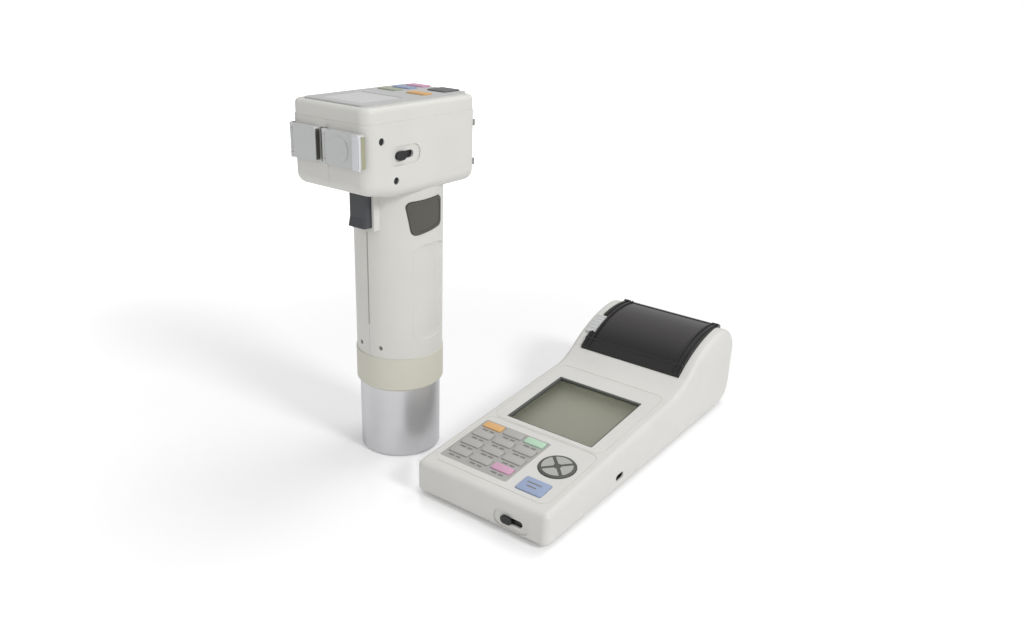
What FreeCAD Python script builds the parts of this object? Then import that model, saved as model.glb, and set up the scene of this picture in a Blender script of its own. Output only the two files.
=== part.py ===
import FreeCAD, Part
import math
import os

# Set: a data processor with a printer, and a measuring head that stands beside it.
# Axes: X across the processor, Y from the keypad end to the printer end, Z up from the bench.

V = FreeCAD.Vector
over = 1.0
full_turn = 360.0
half_turn = 180.0
quarter_turn = 90.0

# Data processor, outer case: its length is the sum of what lies on it from the keypad end
case_wall = 2.2
foot_height = 2.0
front_height = 24.0
deck_slope_share = 0.08
keypad_front_inset = 13.6
window_gap = 11.5
window_length = 66.2
deck_tail = 22.4
bay_ramp = 14.0
bay_length = 77.5
cheek_width = 9.0
parting_height = 17.0
bay_front_rise = 20.6
cheek_mid_share = 0.528
cheek_mid_rise = 15.3
cheek_top_inset = 24.5
cheek_top_rise = 20.8
rear_edge_drop = 18.0
rear_round = parting_height - foot_height
deck_bend_round = 30.0
case_side_round = 4.0
seam_groove = 0.35

# Data processor, display window in the deck
window_left_inset = 15.0
window_right_inset = 17.5
window_margin = 3.0
window_sheet = 1.2
module_depth = 5.0
window_round = 1.0
panel_line = 0.5
panel_line_depth = 0.25
panel_margin_side = 9.5
panel_margin_far = 17.0
panel_margin_near = 5.5
panel_round = 7.0

# Data processor, keypad
key_columns = 3
key_rows = 4
key_width = 14.6
key_depth = 6.6
key_pitch_x = 16.7
key_pitch_y = 11.6
key_round = 1.2
key_proud = 0.9
key_gap = 0.25
key_flange = 1.0
key_flange_height = 1.0
key_seat_gap = 0.05
keypad_side_inset = 7.3
keypad_margin_x = 2.2
keypad_margin_far = 1.8
keypad_label_band = 6.6
plate_thickness = 1.0
keypad_round = 1.5
enter_width = 18.3
enter_depth = 13.6
enter_shift = 0.2
enter_inset = 5.8
pad_side_gap = 4.9
pad_side_inset = 11.4
pad_far_inset = 6.9
pad_radius = 12.0
pad_gap = 0.4
pad_proud = 1.0
pad_cross_width = 1.1
pad_cross_depth = 0.4
pad_hub_radius = 3.0
pad_pivot_radius = 1.0
pad_pivot_half = 2.5
pad_edge_round = 0.6

# Data processor, printer bay and cover
cover_gap = 0.35
cover_front_inset = 0.2
cover_front_lift = 2.0
cover_rear_inset = 10.0
cover_rear_lift = -1.0
cover_skin = 2.0
cover_strip = 6.5
cover_front_strip = 6.5
cover_rear_strip = 3.0
cover_rib_height = 0.7
cover_rib_width = 1.2
cover_rib_inset = 2.3
cover_window_lap = 1.2
cover_window_sink = 0.4
hinge_inset = 15.0
hinge_drop = 5.8
hinge_ear_radius = 3.5
hinge_sweep_gap = 0.4
hinge_nub_inset = 13.2
hinge_nub_lift = 0.1
hinge_pin_radius = 1.8
hinge_pin_gap = 0.08
hinge_arm_width = 2.0
hinge_arm_gap = 0.4
hinge_boss_radius = 3.0
hinge_nub_length = 5.0
hinge_nub_radius = 1.3
notch_inset = 12.5
notch_length = 18.5
notch_depth = 4.0
lever_gap = 0.35
lever_reach = 3.8
lever_travel = 2.0
lever_sink = 0.8
lever_below = 0.6
lever_ribs = 5
lever_rib_depth = 0.3
lever_depth = 4.0

# Data processor, printer inside the bay
tray_wall = 1.6
tray_floor_gap = 2.95
tray_cover_gap = 0.5
tray_rear_drop = 6.0
roll_radius = 17.0
roll_width = 57.0
roll_step = 29.5
roll_cover_gap = 0.87
core_radius = 6.0
journal_radius = 2.5
journal_gap = 0.08
hub_plate = 2.4
hub_gap = 0.5
hub_half_depth = 6.0
hub_lip = 4.0
platen_plate_front = 5.0
platen_plate_rear = 10.0
platen_plate_top = 5.5
platen_radius = 4.6
platen_shaft_radius = 1.8
platen_inset = 12.5
platen_lift = 16.0
gear_module = 0.6
platen_teeth = 20
motor_teeth = 12
gear_width = 2.4
tooth_height_share = 0.8
tooth_root_share = 1.0
tooth_base_share = 0.46
tooth_tip_share = 0.24
gear_mesh_gap = 0.25
gear_drop_angle = 65.0
motor_radius = 5.2
motor_length = 18.0
motor_bore_depth = 5.0
motor_shaft_radius = 1.2
head_bar_depth = 3.0
head_bar_lift = 5.0
head_bar_margin = 1.0
head_bar_gap = 0.3
tear_height = 4.2
tear_thickness = 0.8
tear_lift = 1.2
tear_tooth = 1.6
tear_tooth_depth = 0.8

# Data processor, switch, sockets, board, battery bay and fixings
switch_inset = 25.6
switch_height = 10.2
switch_slot_length = 15.6
switch_slot_width = 4.6
switch_knob_length = 8.2
switch_knob_width = 5.4
switch_knob_proud = 1.3
switch_travel = 7.0
switch_gap = 0.3
switch_recess_length = 26.4
switch_recess_width = 11.4
switch_recess_depth = 0.9
switch_plate = 1.0
jack_inset = 83.5
jack_height = 11.6
jack_length = 9.4
jack_width = 4.4
jack_depth = 9.0
jack_rim = 0.8
jack_pin_radius = 0.7
plug_radius = 4.6
plug_pin_radius = 1.0
board_thickness = 1.6
board_height = 5.2
board_post_inset = 8.4
board_post_front = 22.0
board_post_rear = 14.0
board_margin = 9.4
board_far_gap = 2.0
boss_radius = 3.4
boss_inset_x = 7.0
boss_front_inset = 9.0
boss_rear_step = 4.0
screw_head_radius = 2.6
screw_head_height = 1.8
screw_radius = 1.2
screw_length = 15.0
screw_sink = 1.0
screw_end_gap = 0.5
screw_slot_width = 0.7
screw_slot_depth = 0.6
foot_radius = 5.0
foot_sink = 0.8
foot_door_gap = 2.4
foot_front_inset = 20.0
foot_rear_inset = 24.0
cell_radius = 7.1
cell_length = 49.2
cell_tip_radius = 2.6
cell_tip_length = 1.2
cell_gap = 0.4
cell_count = 4
battery_wall = 2.4
battery_rear_inset = 20.3
door_thickness = 1.5
door_gap = 0.3
door_lap = 2.4
door_grip_ribs = 5
door_grip_pitch = 2.6
door_grip_depth = 0.5
door_grip_length = 16.0

# Measuring head, placed beside the processor
head_gap = 24.0
head_from_front = 46.0
tube_radius = 27.1
tube_wall = 2.3
tube_top = 50.0
tube_chamfer = 1.3
tube_socket_depth = 14.0
collar_step = 2.1
collar_height = 23.5
collar_wall = 4.2
grip_step = 1.5
grip_wall = 2.4
grip_length = 111.5
chamber_wall = 1.6
chamber_bottom = 22.0
chamber_seat_step = 0.6
chamber_throat_radius = 10.0
lens_radius = 11.0
lens_thickness = 3.0

# Measuring head, box on top of the grip
head_front = 58.0
head_back = 40.0
head_rise = 5.0
head_rise_y = 33.0
head_box_height = 45.0
head_cap_height = 9.0
head_corner_round = 8.0
head_foot_round = 7.0
head_floor_bend = 60.0
head_wall = 2.4
head_cap_inset = 0.5
head_cap_round = 3.0
head_cap_wall = 2.2
shell_seam = 0.15
panel_side_inset = 7.0
panel_front_inset = 4.5
panel_back_inset = 2.0
panel_thickness = 2.0
panel_proud = 1.0
panel_corner_round = 4.0
screen_side_inset = 8.0
screen_front_inset = 7.5
screen_length = 33.0
screen_sink = 0.3
head_key_width = 15.0
head_key_depth = 8.0
head_key_side_inset = 5.5
head_key_middle_gap = 9.0
head_key_pitch = 13.0
head_key_back_inset = 5.2
head_key_rows = 3
large_key_depth = 15.0
head_key_round = 1.5
head_key_proud = 0.8
head_key_gap = 0.25
head_key_flange = 0.9
head_board_drop = 5.0
head_board_thickness = 1.6
head_board_margin = 2.0
head_post_radius = 2.6

# Measuring head, grip details
scoop_radius = 43.0
scoop_depth = 1.9
scoop_lift = 12.5
scoop_drop = 35.0
scoop_end_round = 14.0
scoop_half_width = 19.0
button_near = 18.0
button_far = 8.8
button_drop = 7.0
button_height = 20.6
button_slant = 3.6
button_near_drop = 0.8
button_far_top_rise = 2.2
button_far_foot_rise = 3.6
button_round = 3.5
button_proud = 0.8
button_depth = 3.0
button_gap = 0.3
button_flange = 1.2
button_lip_depth = 1.8
button_rim = 1.6
button_rim_depth = 0.4
trigger_half_width = 7.4
trigger_front = 36.2
trigger_drop = 22.5
trigger_top_gap = 0.6
trigger_foot_flare = 3.0
trigger_flare_height = 6.0
trigger_gap = 0.4
trigger_back = 24.0
trigger_travel = 3.0
trigger_round = 1.5
frame_lip = 1.8
frame_front = 32.0
frame_foot = 2.4
grip_screw_x = 8.4
grip_screw_lift = 7.1
small_screw_radius = 1.5
small_screw_length = 6.0
small_screw_sink = 0.5
side_screw_front = 47.0
side_screw_drop = 9.7
lower_screw_front = 35.3
lower_screw_lift = 11.2
side_screw_radius = 2.2
side_screw_sink = 1.0
side_screw_length = 6.0
head_switch_front = 27.6
head_switch_drop = 19.6
bumper_width = 3.0
bumper_height = 4.0
bumper_proud = 1.2
bumper_sink = 1.4
bumper_drop = 8.4
bumper_lift = 12.0
bumper_round = 0.6
port_thickness = 3.6
port_drop = 4.5
port_height = 20.0
port_left_far = 28.5
port_left_near = 6.0
port_right_near = 1.5
port_right_far = 28.0
port_round = 2.2
port_gap = 0.3
port_lip = 5.6
port_lip_reach = 2.6
port_lip_proud = 1.8
port_disc_radius = 7.3
port_disc_proud = 0.4
port_disc_x = 13.2
port_pin_radius = 0.9
port_knuckle_radius = 1.7
port_pin_gap = 0.06
port_ear_height = 2.9
port_pocket_edge = 3.0
port_pocket_end = 5.5
port_hinge_step = 6.0
finger_slot_depth = 1.4
finger_slot_gap = 0.5
socket_radius = 5.2
socket_length = 6.0
socket_bore_radius = 3.8
socket_bore_depth = 4.6
cover_half_width = 15.0
hatch_lift = 18.5
hatch_drop = 35.0
cover_thickness = 1.2
bay_lip = 1.4
head_cell_x = 7.7
head_cell_y = 8.6
head_cell_lift = 4.5
head_cell_rows = 2
cradle_floor = 2.0
cradle_gap = 0.2
cradle_back = 9.4

# Worked out from the sizes above, across and along the processor
keypad_width = key_pitch_x * (key_columns - 1) + key_width + keypad_margin_x * 2
keypad_length = key_pitch_y * (key_rows - 1) + key_depth + keypad_margin_far + keypad_label_band
case_width = keypad_side_inset + keypad_width + pad_side_gap + pad_radius * 2 + pad_side_inset
case_length = (keypad_front_inset + keypad_length + window_gap + window_length + deck_tail
               + bay_ramp + bay_length)
case_front_y = -case_length / 2
case_rear_y = case_length / 2
case_half = case_width / 2
case_foot = foot_height
deck_angle = math.degrees(math.atan(deck_slope_share))
keypad_x0 = -case_half + keypad_side_inset
keypad_x1 = keypad_x0 + keypad_width
keypad_y0 = case_front_y + keypad_front_inset
keypad_y1 = keypad_y0 + keypad_length
key_first_x = keypad_x0 + keypad_margin_x + key_width / 2
key_first_y = keypad_y1 - keypad_margin_far - key_depth / 2
pad_x = keypad_x1 + pad_side_gap + pad_radius
pad_y = keypad_y1 - pad_far_inset - pad_radius
enter_x = pad_x - enter_shift
enter_y = keypad_y0 + enter_inset
window_left = case_half - window_left_inset
window_right = case_half - window_right_inset
window_near_y = keypad_y1 + window_gap
window_far_y = window_near_y + window_length
deck_end_y = window_far_y + deck_tail
bay_front_y = deck_end_y + bay_ramp
switch_x = case_half - switch_inset
jack_y = case_front_y + jack_inset

# Battery bay, placed from the rear end, and the board in front of it
cell_box_half = cell_length / 2 + cell_tip_length + cell_gap
cell_box_length = cell_count * (cell_radius * 2 + cell_gap) + cell_gap
door_seat_height = case_foot + door_thickness + door_gap / 2
cell_height = door_seat_height + cell_gap + cell_radius
battery_rear = case_rear_y - battery_rear_inset
battery_front = battery_rear - cell_box_length
battery_front_y = battery_front - battery_wall
battery_top = cell_height + cell_radius + cell_gap
door_half = cell_box_half + door_lap - door_gap
foot_x = door_half + door_gap + foot_door_gap + foot_radius
board_far_y = battery_front_y - board_far_gap
board_half = case_half - case_wall - board_margin
board_post_x = board_half - board_post_inset
board_post_rear_y = board_far_y - board_post_rear
boss_rear_y = deck_end_y + boss_rear_step

# Heights of the printer end and the curve of its cover
tray_floor_height = battery_top + battery_wall + tray_floor_gap
bay_front_height = tray_floor_height + bay_front_rise
cheek_top_y = case_rear_y - cheek_top_inset
cheek_top_height = bay_front_height + cheek_top_rise
cheek_mid_y = bay_front_y + (cheek_top_y - bay_front_y) * cheek_mid_share
cheek_mid_height = bay_front_height + cheek_mid_rise
rear_edge_height = cheek_top_height - rear_edge_drop
tray_rear_height = rear_edge_height - tray_rear_drop
cover_half = case_half - cheek_width
cover_front_y = bay_front_y + cover_front_inset
cover_front_height = bay_front_height + cover_front_lift
cover_mid_height = cheek_mid_height + cover_front_lift
cover_rear_y = case_rear_y - cover_rear_inset
cover_rear_height = cheek_top_height + cover_rear_lift
clear_height = cheek_top_height + cover_rear_height
arc_curve = Part.Arc(V(0, cover_front_y, cover_front_height), V(0, cheek_mid_y, cover_mid_height),
                     V(0, cover_rear_y, cover_rear_height)).toShape().Curve
arc_centre = arc_curve.Center
arc_radius = arc_curve.Radius
hinge_y = case_rear_y - hinge_inset
hinge_nub_y = case_rear_y - hinge_nub_inset
notch_near_y = bay_front_y + notch_inset
notch_far_y = notch_near_y + notch_length
platen_y = bay_front_y + platen_inset
platen_height = tray_floor_height + platen_lift
head_bar_top = platen_height + head_bar_lift
roll_y = platen_y + roll_step
roll_reach = arc_radius - cover_skin - cover_window_sink - roll_cover_gap - roll_radius
roll_height = arc_centre.z + math.sqrt(roll_reach ** 2 - (roll_y - arc_centre.y) ** 2)

# Measuring head, stacked up from its tube
collar_radius = tube_radius + collar_step
collar_top = tube_top + collar_height
grip_radius = tube_radius + grip_step
head_bottom = collar_top + grip_length
head_step = head_bottom + head_box_height
head_top = head_step + head_cap_height
head_floor_front = head_bottom + head_rise
head_key_x = (head_key_middle_gap + head_key_width) / 2
panel_half_width = head_key_x + head_key_width / 2 + head_key_side_inset
head_half_width = panel_half_width + panel_side_inset
head_x = -case_half - head_gap - head_half_width
head_y = case_front_y + head_from_front
panel_front = head_front - panel_front_inset
panel_back = head_back - panel_back_inset
screen_half_width = panel_half_width - screen_side_inset
screen_front = panel_front - screen_front_inset
screen_back = screen_front - screen_length
head_key_first_y = panel_back - head_key_back_inset - head_key_pitch * (head_key_rows - 1)
scoop_bottom = collar_top + scoop_lift
scoop_top = head_bottom - scoop_drop
button_top = head_bottom - button_drop
button_bottom = button_top - button_height
trigger_bottom = head_bottom - trigger_drop
grip_screw_height = collar_top + grip_screw_lift
side_screw_height = head_step - side_screw_drop
lower_screw_height = head_bottom + lower_screw_lift
head_switch_height = head_step - head_switch_drop
bumper_upper = head_step - bumper_drop
bumper_lower = head_bottom + bumper_lift
port_bottom = head_step - port_drop - port_height
cover_bottom = collar_top + hatch_lift
cover_top = head_bottom - hatch_drop
head_cell_bottom = collar_top + head_cell_lift


def block(x0, x1, y0, y1, z0, z1):
    return Part.makeBox(x1 - x0, y1 - y0, z1 - z0, V(x0, y0, z0))


def rod(radius, start, end):
    axis = end.sub(start)
    return Part.makeCylinder(radius, axis.Length, start, axis)


def rod_x(radius, x0, x1, y, z):
    return rod(radius, V(x0, y, z), V(x1, y, z))


def rod_y(radius, y0, y1, x, z):
    return rod(radius, V(x, y0, z), V(x, y1, z))


def rod_z(radius, z0, z1, x, y):
    return rod(radius, V(x, y, z0), V(x, y, z1))


def polygon(points):
    return Part.Face(Part.makePolygon(points + [points[0]]))


def edges_along(shape, direction):
    found = []
    for edge in shape.Edges:
        if len(edge.Vertexes) == 2:
            run = edge.Vertexes[1].Point.sub(edge.Vertexes[0].Point)
            if abs(run.dot(direction)) > run.Length * math.cos(math.radians(deck_slope_share)):
                found.append(edge)
    return found


def rounded_block(x0, x1, y0, y1, z0, z1, radius, direction):
    body = block(x0, x1, y0, y1, z0, z1)
    return body.makeFillet(radius, edges_along(body, direction))


def slot_y(x_mid, z_mid, length, width, y0, y1):
    """Oblong along X, cut or raised along Y."""
    half = (length - width) / 2
    middle = block(x_mid - half, x_mid + half, y0, y1, z_mid - width / 2, z_mid + width / 2)
    ends = [rod_y(width / 2, y0, y1, x_mid + side * half, z_mid) for side in (-1, 1)]
    return middle.fuse(ends).removeSplitter()


def slot_x(y_mid, z_mid, length, width, x0, x1):
    """Oblong along Y, cut or raised along X."""
    half = (length - width) / 2
    middle = block(x0, x1, y_mid - half, y_mid + half, z_mid - width / 2, z_mid + width / 2)
    ends = [rod_x(width / 2, x0, x1, y_mid + side * half, z_mid) for side in (-1, 1)]
    return middle.fuse(ends).removeSplitter()


def on_deck(shape):
    """Lay a shape drawn flat, with its Y from the front edge, on the sloped deck."""
    placed = shape.copy()
    placed.rotate(V(0, 0, 0), V(1, 0, 0), deck_angle)
    placed.translate(V(0, case_front_y, front_height))
    return placed


def along_deck(y):
    return (y - case_front_y) / math.cos(math.radians(deck_angle))


def deck_height(y):
    return front_height + deck_slope_share * (y - case_front_y)


def cover_height(y):
    """Height of the cover's outer face at y."""
    return arc_centre.z + math.sqrt(arc_radius ** 2 - (y - arc_centre.y) ** 2)


hinge_height = cover_height(hinge_y) - hinge_drop


def smooth_arc(before, start, end):
    """Arc to the given end that leaves its start in the direction in which the arc before ends."""
    radial = start.sub(before.Curve.Center)
    onward = V(0, radial.z, -radial.y)
    chord = end.sub(start)
    turn = onward.getAngle(chord)
    rise = chord.Length / 2 * math.tan(turn / 2)
    upright = V(0, -chord.z, chord.y).normalize()
    middle = start.add(chord / 2).add(upright * rise)
    return Part.Arc(start, middle, end).toShape()


def case_profile():
    """Side outline of the case, as a closed wire in the plane of Y and Z."""
    front_top = V(0, case_front_y, front_height)
    deck_end = V(0, deck_end_y, deck_height(deck_end_y))
    bay_front = V(0, bay_front_y, bay_front_height)
    cheek_mid = V(0, cheek_mid_y, cheek_mid_height)
    cheek_top = V(0, cheek_top_y, cheek_top_height)
    rear_top = V(0, case_rear_y, rear_edge_height)
    rear_low = V(0, case_rear_y, case_foot + rear_round)
    diagonal = rear_round * math.cos(math.pi / 4)
    round_mid = V(0, case_rear_y - rear_round + diagonal, case_foot + rear_round - diagonal)
    floor_rear = V(0, case_rear_y - rear_round, case_foot)
    floor_front = V(0, case_front_y, case_foot)
    cheek = Part.Arc(bay_front, cheek_mid, cheek_top).toShape()
    return Part.Wire([
        Part.makeLine(floor_front, front_top),
        Part.makeLine(front_top, deck_end),
        Part.makeLine(deck_end, bay_front),
        cheek,
        smooth_arc(cheek, cheek_top, rear_top),
        Part.makeLine(rear_top, rear_low),
        Part.Arc(rear_low, round_mid, floor_rear).toShape(),
        Part.makeLine(floor_rear, floor_front),
    ])


def case_solid(inset):
    """Case outline moved in by the given depth and run across the width."""
    wire = case_profile()
    if inset > 0:
        wire = wire.makeOffset2D(-inset)
    body = Part.Face(wire).extrude(V(case_width - inset * 2, 0, 0))
    body.translate(V(inset - case_half, 0, 0))
    return body


def case_form():
    """Outer form of the whole case, all its outer edges rounded."""
    body = case_solid(0)
    bends = [edge for edge in edges_along(body, V(1, 0, 0))
             if abs(edge.CenterOfMass.y - deck_end_y) < over]
    body = body.makeFillet(deck_bend_round, bends)
    outer = []
    for edge in body.Edges:
        box = edge.BoundBox
        on_side = box.XLength < seam_groove
        at_front = box.YMax < case_front_y + seam_groove
        if on_side or at_front:
            outer.append(edge)
    return body.makeFillet(case_side_round, outer)


def half_space(z0, z1):
    return block(-case_width, case_width, -case_length, case_length, z0, z1)


def deck_block(x0, x1, y0, y1, z0, z1, radius):
    """Block given by case X and Y and laid on the deck, heights square to the deck."""
    flat = rounded_block(x0, x1, along_deck(y0), along_deck(y1), z0, z1, radius, V(0, 0, 1))
    return on_deck(flat)


def deck_line(x0, x1, y0, y1, radius):
    """Fine moulded line round a panel on the deck."""
    outer = deck_block(x0, x1, y0, y1, -panel_line_depth, over, radius)
    inner = deck_block(x0 + panel_line, x1 - panel_line, y0 + panel_line, y1 - panel_line,
                       -over, over + over, radius - panel_line)
    return outer.cut(inner)


def bent_skin(x0, x1, y0, y1, outer, inner):
    """Piece of the curved cover between two depths, given from its outer face."""
    ring = rod_x(arc_radius + outer, x0, x1, arc_centre.y, arc_centre.z)
    ring = ring.cut(rod_x(arc_radius + inner, x0 - over, x1 + over, arc_centre.y, arc_centre.z))
    return ring.common(block(x0, x1, y0, y1, parting_height, arc_centre.z + arc_radius * 2))


opening_half = cover_half + cover_gap
opening_front_y = cover_front_y - cover_gap
bay_rear_y = case_rear_y - case_wall
screw_places = [(side * (case_half - boss_inset_x), y) for side in (-1, 1)
                for y in (case_front_y + boss_front_inset, boss_rear_y)]
foot_places = [(side * foot_x, y) for side in (-1, 1)
               for y in (case_front_y + foot_front_inset, case_rear_y - foot_rear_inset)]
key_places = [(key_first_x + column * key_pitch_x, key_first_y - row * key_pitch_y)
              for row in range(key_rows) for column in range(key_columns)]


def key_hole(x, y, width, depth, gap, z0, z1):
    return deck_block(x - width / 2 - gap, x + width / 2 + gap,
                      y - depth / 2 - gap, y + depth / 2 + gap, z0, z1, key_round)


def upper_case():
    body = case_form().cut(case_solid(case_wall))
    body = body.cut(half_space(-over, parting_height))
    deck_over = case_wall + over
    cuts = [deck_block(-window_left, window_right, window_near_y, window_far_y,
                       -deck_over, over, window_round)]
    cuts.append(deck_block(keypad_x0, keypad_x1, keypad_y0, keypad_y1,
                           -plate_thickness, over, keypad_round))
    for x, y in key_places:
        cuts.append(key_hole(x, y, key_width, key_depth, key_gap, -deck_over, over))
    cuts.append(key_hole(enter_x, enter_y, enter_width, enter_depth, key_gap, -deck_over, over))
    pad_bore = rod_z(pad_radius + pad_gap, -deck_over, over, pad_x, along_deck(pad_y))
    cuts.append(on_deck(pad_bore))
    line_x1 = pad_x + pad_radius + keypad_margin_x * 2
    line_y1 = window_near_y - panel_margin_near
    cuts.append(deck_line(keypad_x0 - keypad_margin_x, line_x1, keypad_y0 - panel_margin_near,
                          line_y1, panel_round))
    cuts.append(deck_line(-window_left - panel_margin_side, window_right + panel_margin_side,
                          line_y1 + panel_line * 2, window_far_y + panel_margin_far, panel_round))
    cuts.append(block(-opening_half, opening_half, opening_front_y, bay_rear_y,
                      parting_height, clear_height))
    notch_x = -cover_half + notch_depth - lever_gap - lever_reach - notch_depth
    cuts.append(bent_skin(notch_x - lever_gap, -cover_half, notch_near_y - lever_gap,
                          notch_far_y + lever_gap, over, -lever_depth * 2))
    body = body.cut(cuts)
    for x, y in screw_places:
        post = rod_z(boss_radius, parting_height, deck_height(y), x, y).common(case_solid(0))
        body = body.fuse(post)
        body = body.cut(rod_z(screw_radius, parting_height - over,
                              screw_tip + screw_end_gap, x, y))
    return body.removeSplitter()


screw_seat = case_foot + screw_sink + screw_head_height
screw_tip = screw_seat + screw_length


def lower_case():
    form = case_form()
    inner = case_solid(case_wall)
    body = form.cut(inner).cut(half_space(parting_height, clear_height))
    floor = case_foot + case_wall
    adds = [rod_z(boss_radius, case_foot + over, parting_height, x, y) for x, y in screw_places]
    for side in (-1, 1):
        for y in (case_front_y + board_post_front, board_post_rear_y):
            adds.append(rod_z(boss_radius, case_foot + over, board_height, side * board_post_x, y))
    outer_half = cell_box_half + battery_wall
    adds.append(block(-outer_half, outer_half, battery_front_y, battery_rear + battery_wall,
                      case_foot + over, battery_top + battery_wall))
    ramp_half = outer_half + battery_wall
    ramp = block(-ramp_half, ramp_half, battery_rear, case_rear_y - case_wall,
                 case_foot + over, door_seat_height + battery_wall)
    adds.append(ramp.common(case_solid(over)))
    body = body.fuse(adds)
    cuts = [block(-cell_box_half, cell_box_half, battery_front, battery_rear,
                  case_foot - over, battery_top)]
    cuts.append(block(-door_half - door_gap, door_half + door_gap,
                      battery_front - door_lap, case_rear_y,
                      case_foot - over, door_seat_height))
    for x, y in screw_places:
        cuts.append(rod_z(screw_radius, case_foot, parting_height + over, x, y))
        cuts.append(rod_z(screw_head_radius, case_foot - over, screw_seat, x, y))
    for x, y in foot_places:
        cuts.append(rod_z(foot_radius, case_foot - over, case_foot + foot_sink, x, y))
    front = case_front_y
    cuts.append(slot_y(switch_x, switch_height, switch_recess_length, switch_recess_width,
                       front - over, front + switch_recess_depth))
    cuts.append(slot_y(switch_x, switch_height, switch_slot_length, switch_slot_width,
                       front - over, front + case_wall + over))
    side = case_half - case_wall - over
    cuts.append(slot_x(jack_y, jack_height, jack_length, jack_width, side, case_half + over))
    cuts.append(rod_x(plug_radius, -case_half - over, -side, jack_y, jack_height))
    return body.cut(cuts).removeSplitter()


def keypad_plate():
    body = deck_block(keypad_x0, keypad_x1, keypad_y0, keypad_y1,
                      -plate_thickness, 0, keypad_round)
    holes = [key_hole(x, y, key_width, key_depth, key_gap, -over * 2, over)
             for x, y in key_places]
    return body.cut(holes)


def press_key(x, y, width, depth):
    """Rubber key with a lip under the deck at its near and far sides."""
    seat = -case_wall - key_seat_gap
    body = key_hole(x, y, width, depth, 0, seat - key_flange_height, key_proud)
    lip = deck_block(x - width / 2, x + width / 2, y - depth / 2 - key_flange,
                     y + depth / 2 + key_flange, seat - key_flange_height, seat, key_round)
    return body.fuse(lip).removeSplitter()


def cursor_pad():
    """Four-way disc on a round rocker below, with a fine cross on its face."""
    seat = -case_wall - key_seat_gap
    body = rod_z(pad_radius, seat, pad_proud, 0, 0)
    rim = [e for e in body.Edges if abs(e.CenterOfMass.z - pad_proud) < key_seat_gap]
    body = body.makeFillet(pad_edge_round, rim)
    body = body.fuse(rod_x(pad_pivot_radius, -pad_pivot_half, pad_pivot_half, 0, seat))
    hub = rod_z(pad_hub_radius, -over * 2, pad_proud + over, 0, 0)
    for turn in (1, -1):
        bar = block(-pad_radius * 2, pad_radius * 2, -pad_cross_width / 2, pad_cross_width / 2,
                    pad_proud - pad_cross_depth, pad_proud + over)
        bar.rotate(V(0, 0, 0), V(0, 0, 1), turn * quarter_turn / 2)
        body = body.cut(bar.cut(hub))
    body.translate(V(pad_x, along_deck(pad_y), 0))
    return on_deck(body).removeSplitter()


def display_window():
    return deck_block(-window_left - window_margin, window_right + window_margin,
                      window_near_y - window_margin, window_far_y + window_margin,
                      -case_wall - window_sheet, -case_wall, window_round)


def display_module():
    top = -case_wall - window_sheet
    return deck_block(-window_left - window_margin, window_right + window_margin,
                      window_near_y - window_margin, window_far_y + window_margin,
                      top - module_depth, top, window_round)


def main_board():
    body = block(-board_half, board_half, case_front_y + case_wall + board_margin, board_far_y,
                 board_height, board_height + board_thickness)
    holes = [rod_z(boss_radius + key_gap, 0, parting_height, x, y) for x, y in screw_places]
    return body.cut(holes)


def processor_sockets():
    """Oblong adapter jack on the right and round head socket on the left."""
    outer = case_half - jack_rim
    inner = case_half - case_wall - jack_depth
    jack = slot_x(jack_y, jack_height, jack_length, jack_width, inner, outer)
    mouth = slot_x(jack_y, jack_height, jack_length - jack_rim * 2, jack_width - jack_rim * 2,
                   inner + jack_rim * 2, outer + over)
    pin = rod_x(jack_pin_radius, inner + jack_rim, outer - jack_rim, jack_y, jack_height)
    jack = jack.cut(mouth).fuse(pin)
    plug = rod_x(plug_radius, -outer, -inner, jack_y, jack_height)
    plug = plug.cut(rod_x(plug_radius - jack_rim, -outer - over, -inner - jack_rim * 2,
                          jack_y, jack_height))
    reach = (plug_radius - jack_rim) / 2
    for turn in (0, 1, 2):
        angle = math.radians(turn * full_turn / 3)
        plug = plug.fuse(rod_x(plug_pin_radius / 2, -outer + jack_rim, -inner - jack_rim,
                               jack_y + reach * math.cos(angle),
                               jack_height + reach * math.sin(angle)))
    return Part.makeCompound([jack, plug])


def cell(start, end):
    """Round battery cell with its contact tip at the far end."""
    axis = end.sub(start)
    axis.normalize()
    can = rod(cell_radius, start, end)
    tip = rod(cell_tip_radius, end, end.add(axis.multiply(cell_tip_length)))
    return can.fuse(tip).removeSplitter()


def processor_batteries():
    cells = []
    for index in range(cell_count):
        y = battery_front + cell_gap + cell_radius + index * (cell_radius * 2 + cell_gap)
        way = 1 if index % 2 else -1
        cells.append(cell(V(-way * cell_length / 2, y, cell_height),
                          V(way * cell_length / 2, y, cell_height)))
    return Part.makeCompound(cells)


def battery_door():
    """Flat door under the case, with finger ribs near its front edge."""
    y0 = battery_front - door_lap + door_gap
    y1 = battery_rear + door_lap
    body = block(-door_half, door_half, y0, y1, case_foot, case_foot + door_thickness)
    for rib in range(door_grip_ribs):
        y = y0 + door_lap + (rib + 1) * door_grip_pitch
        body = body.cut(block(-door_grip_length / 2, door_grip_length / 2, y,
                              y + door_grip_pitch / 2, case_foot - over,
                              case_foot + door_grip_depth))
    return body


def rubber_feet():
    return Part.makeCompound([rod_z(foot_radius, 0, case_foot + foot_sink, x, y)
                              for x, y in foot_places])


def screw(x, y, z):
    """Slotted screw seen from below, with its head under height z."""
    head = rod_z(screw_head_radius, z - screw_head_height, z, x, y)
    slot = block(x - screw_head_radius, x + screw_head_radius, y - screw_slot_width / 2,
                 y + screw_slot_width / 2, z - screw_head_height - over,
                 z - screw_head_height + screw_slot_depth)
    return head.cut(slot).fuse(rod_z(screw_radius, z, z + screw_length, x, y)).removeSplitter()


def case_screws():
    return Part.makeCompound([screw(x, y, screw_seat) for x, y in screw_places])


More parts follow.
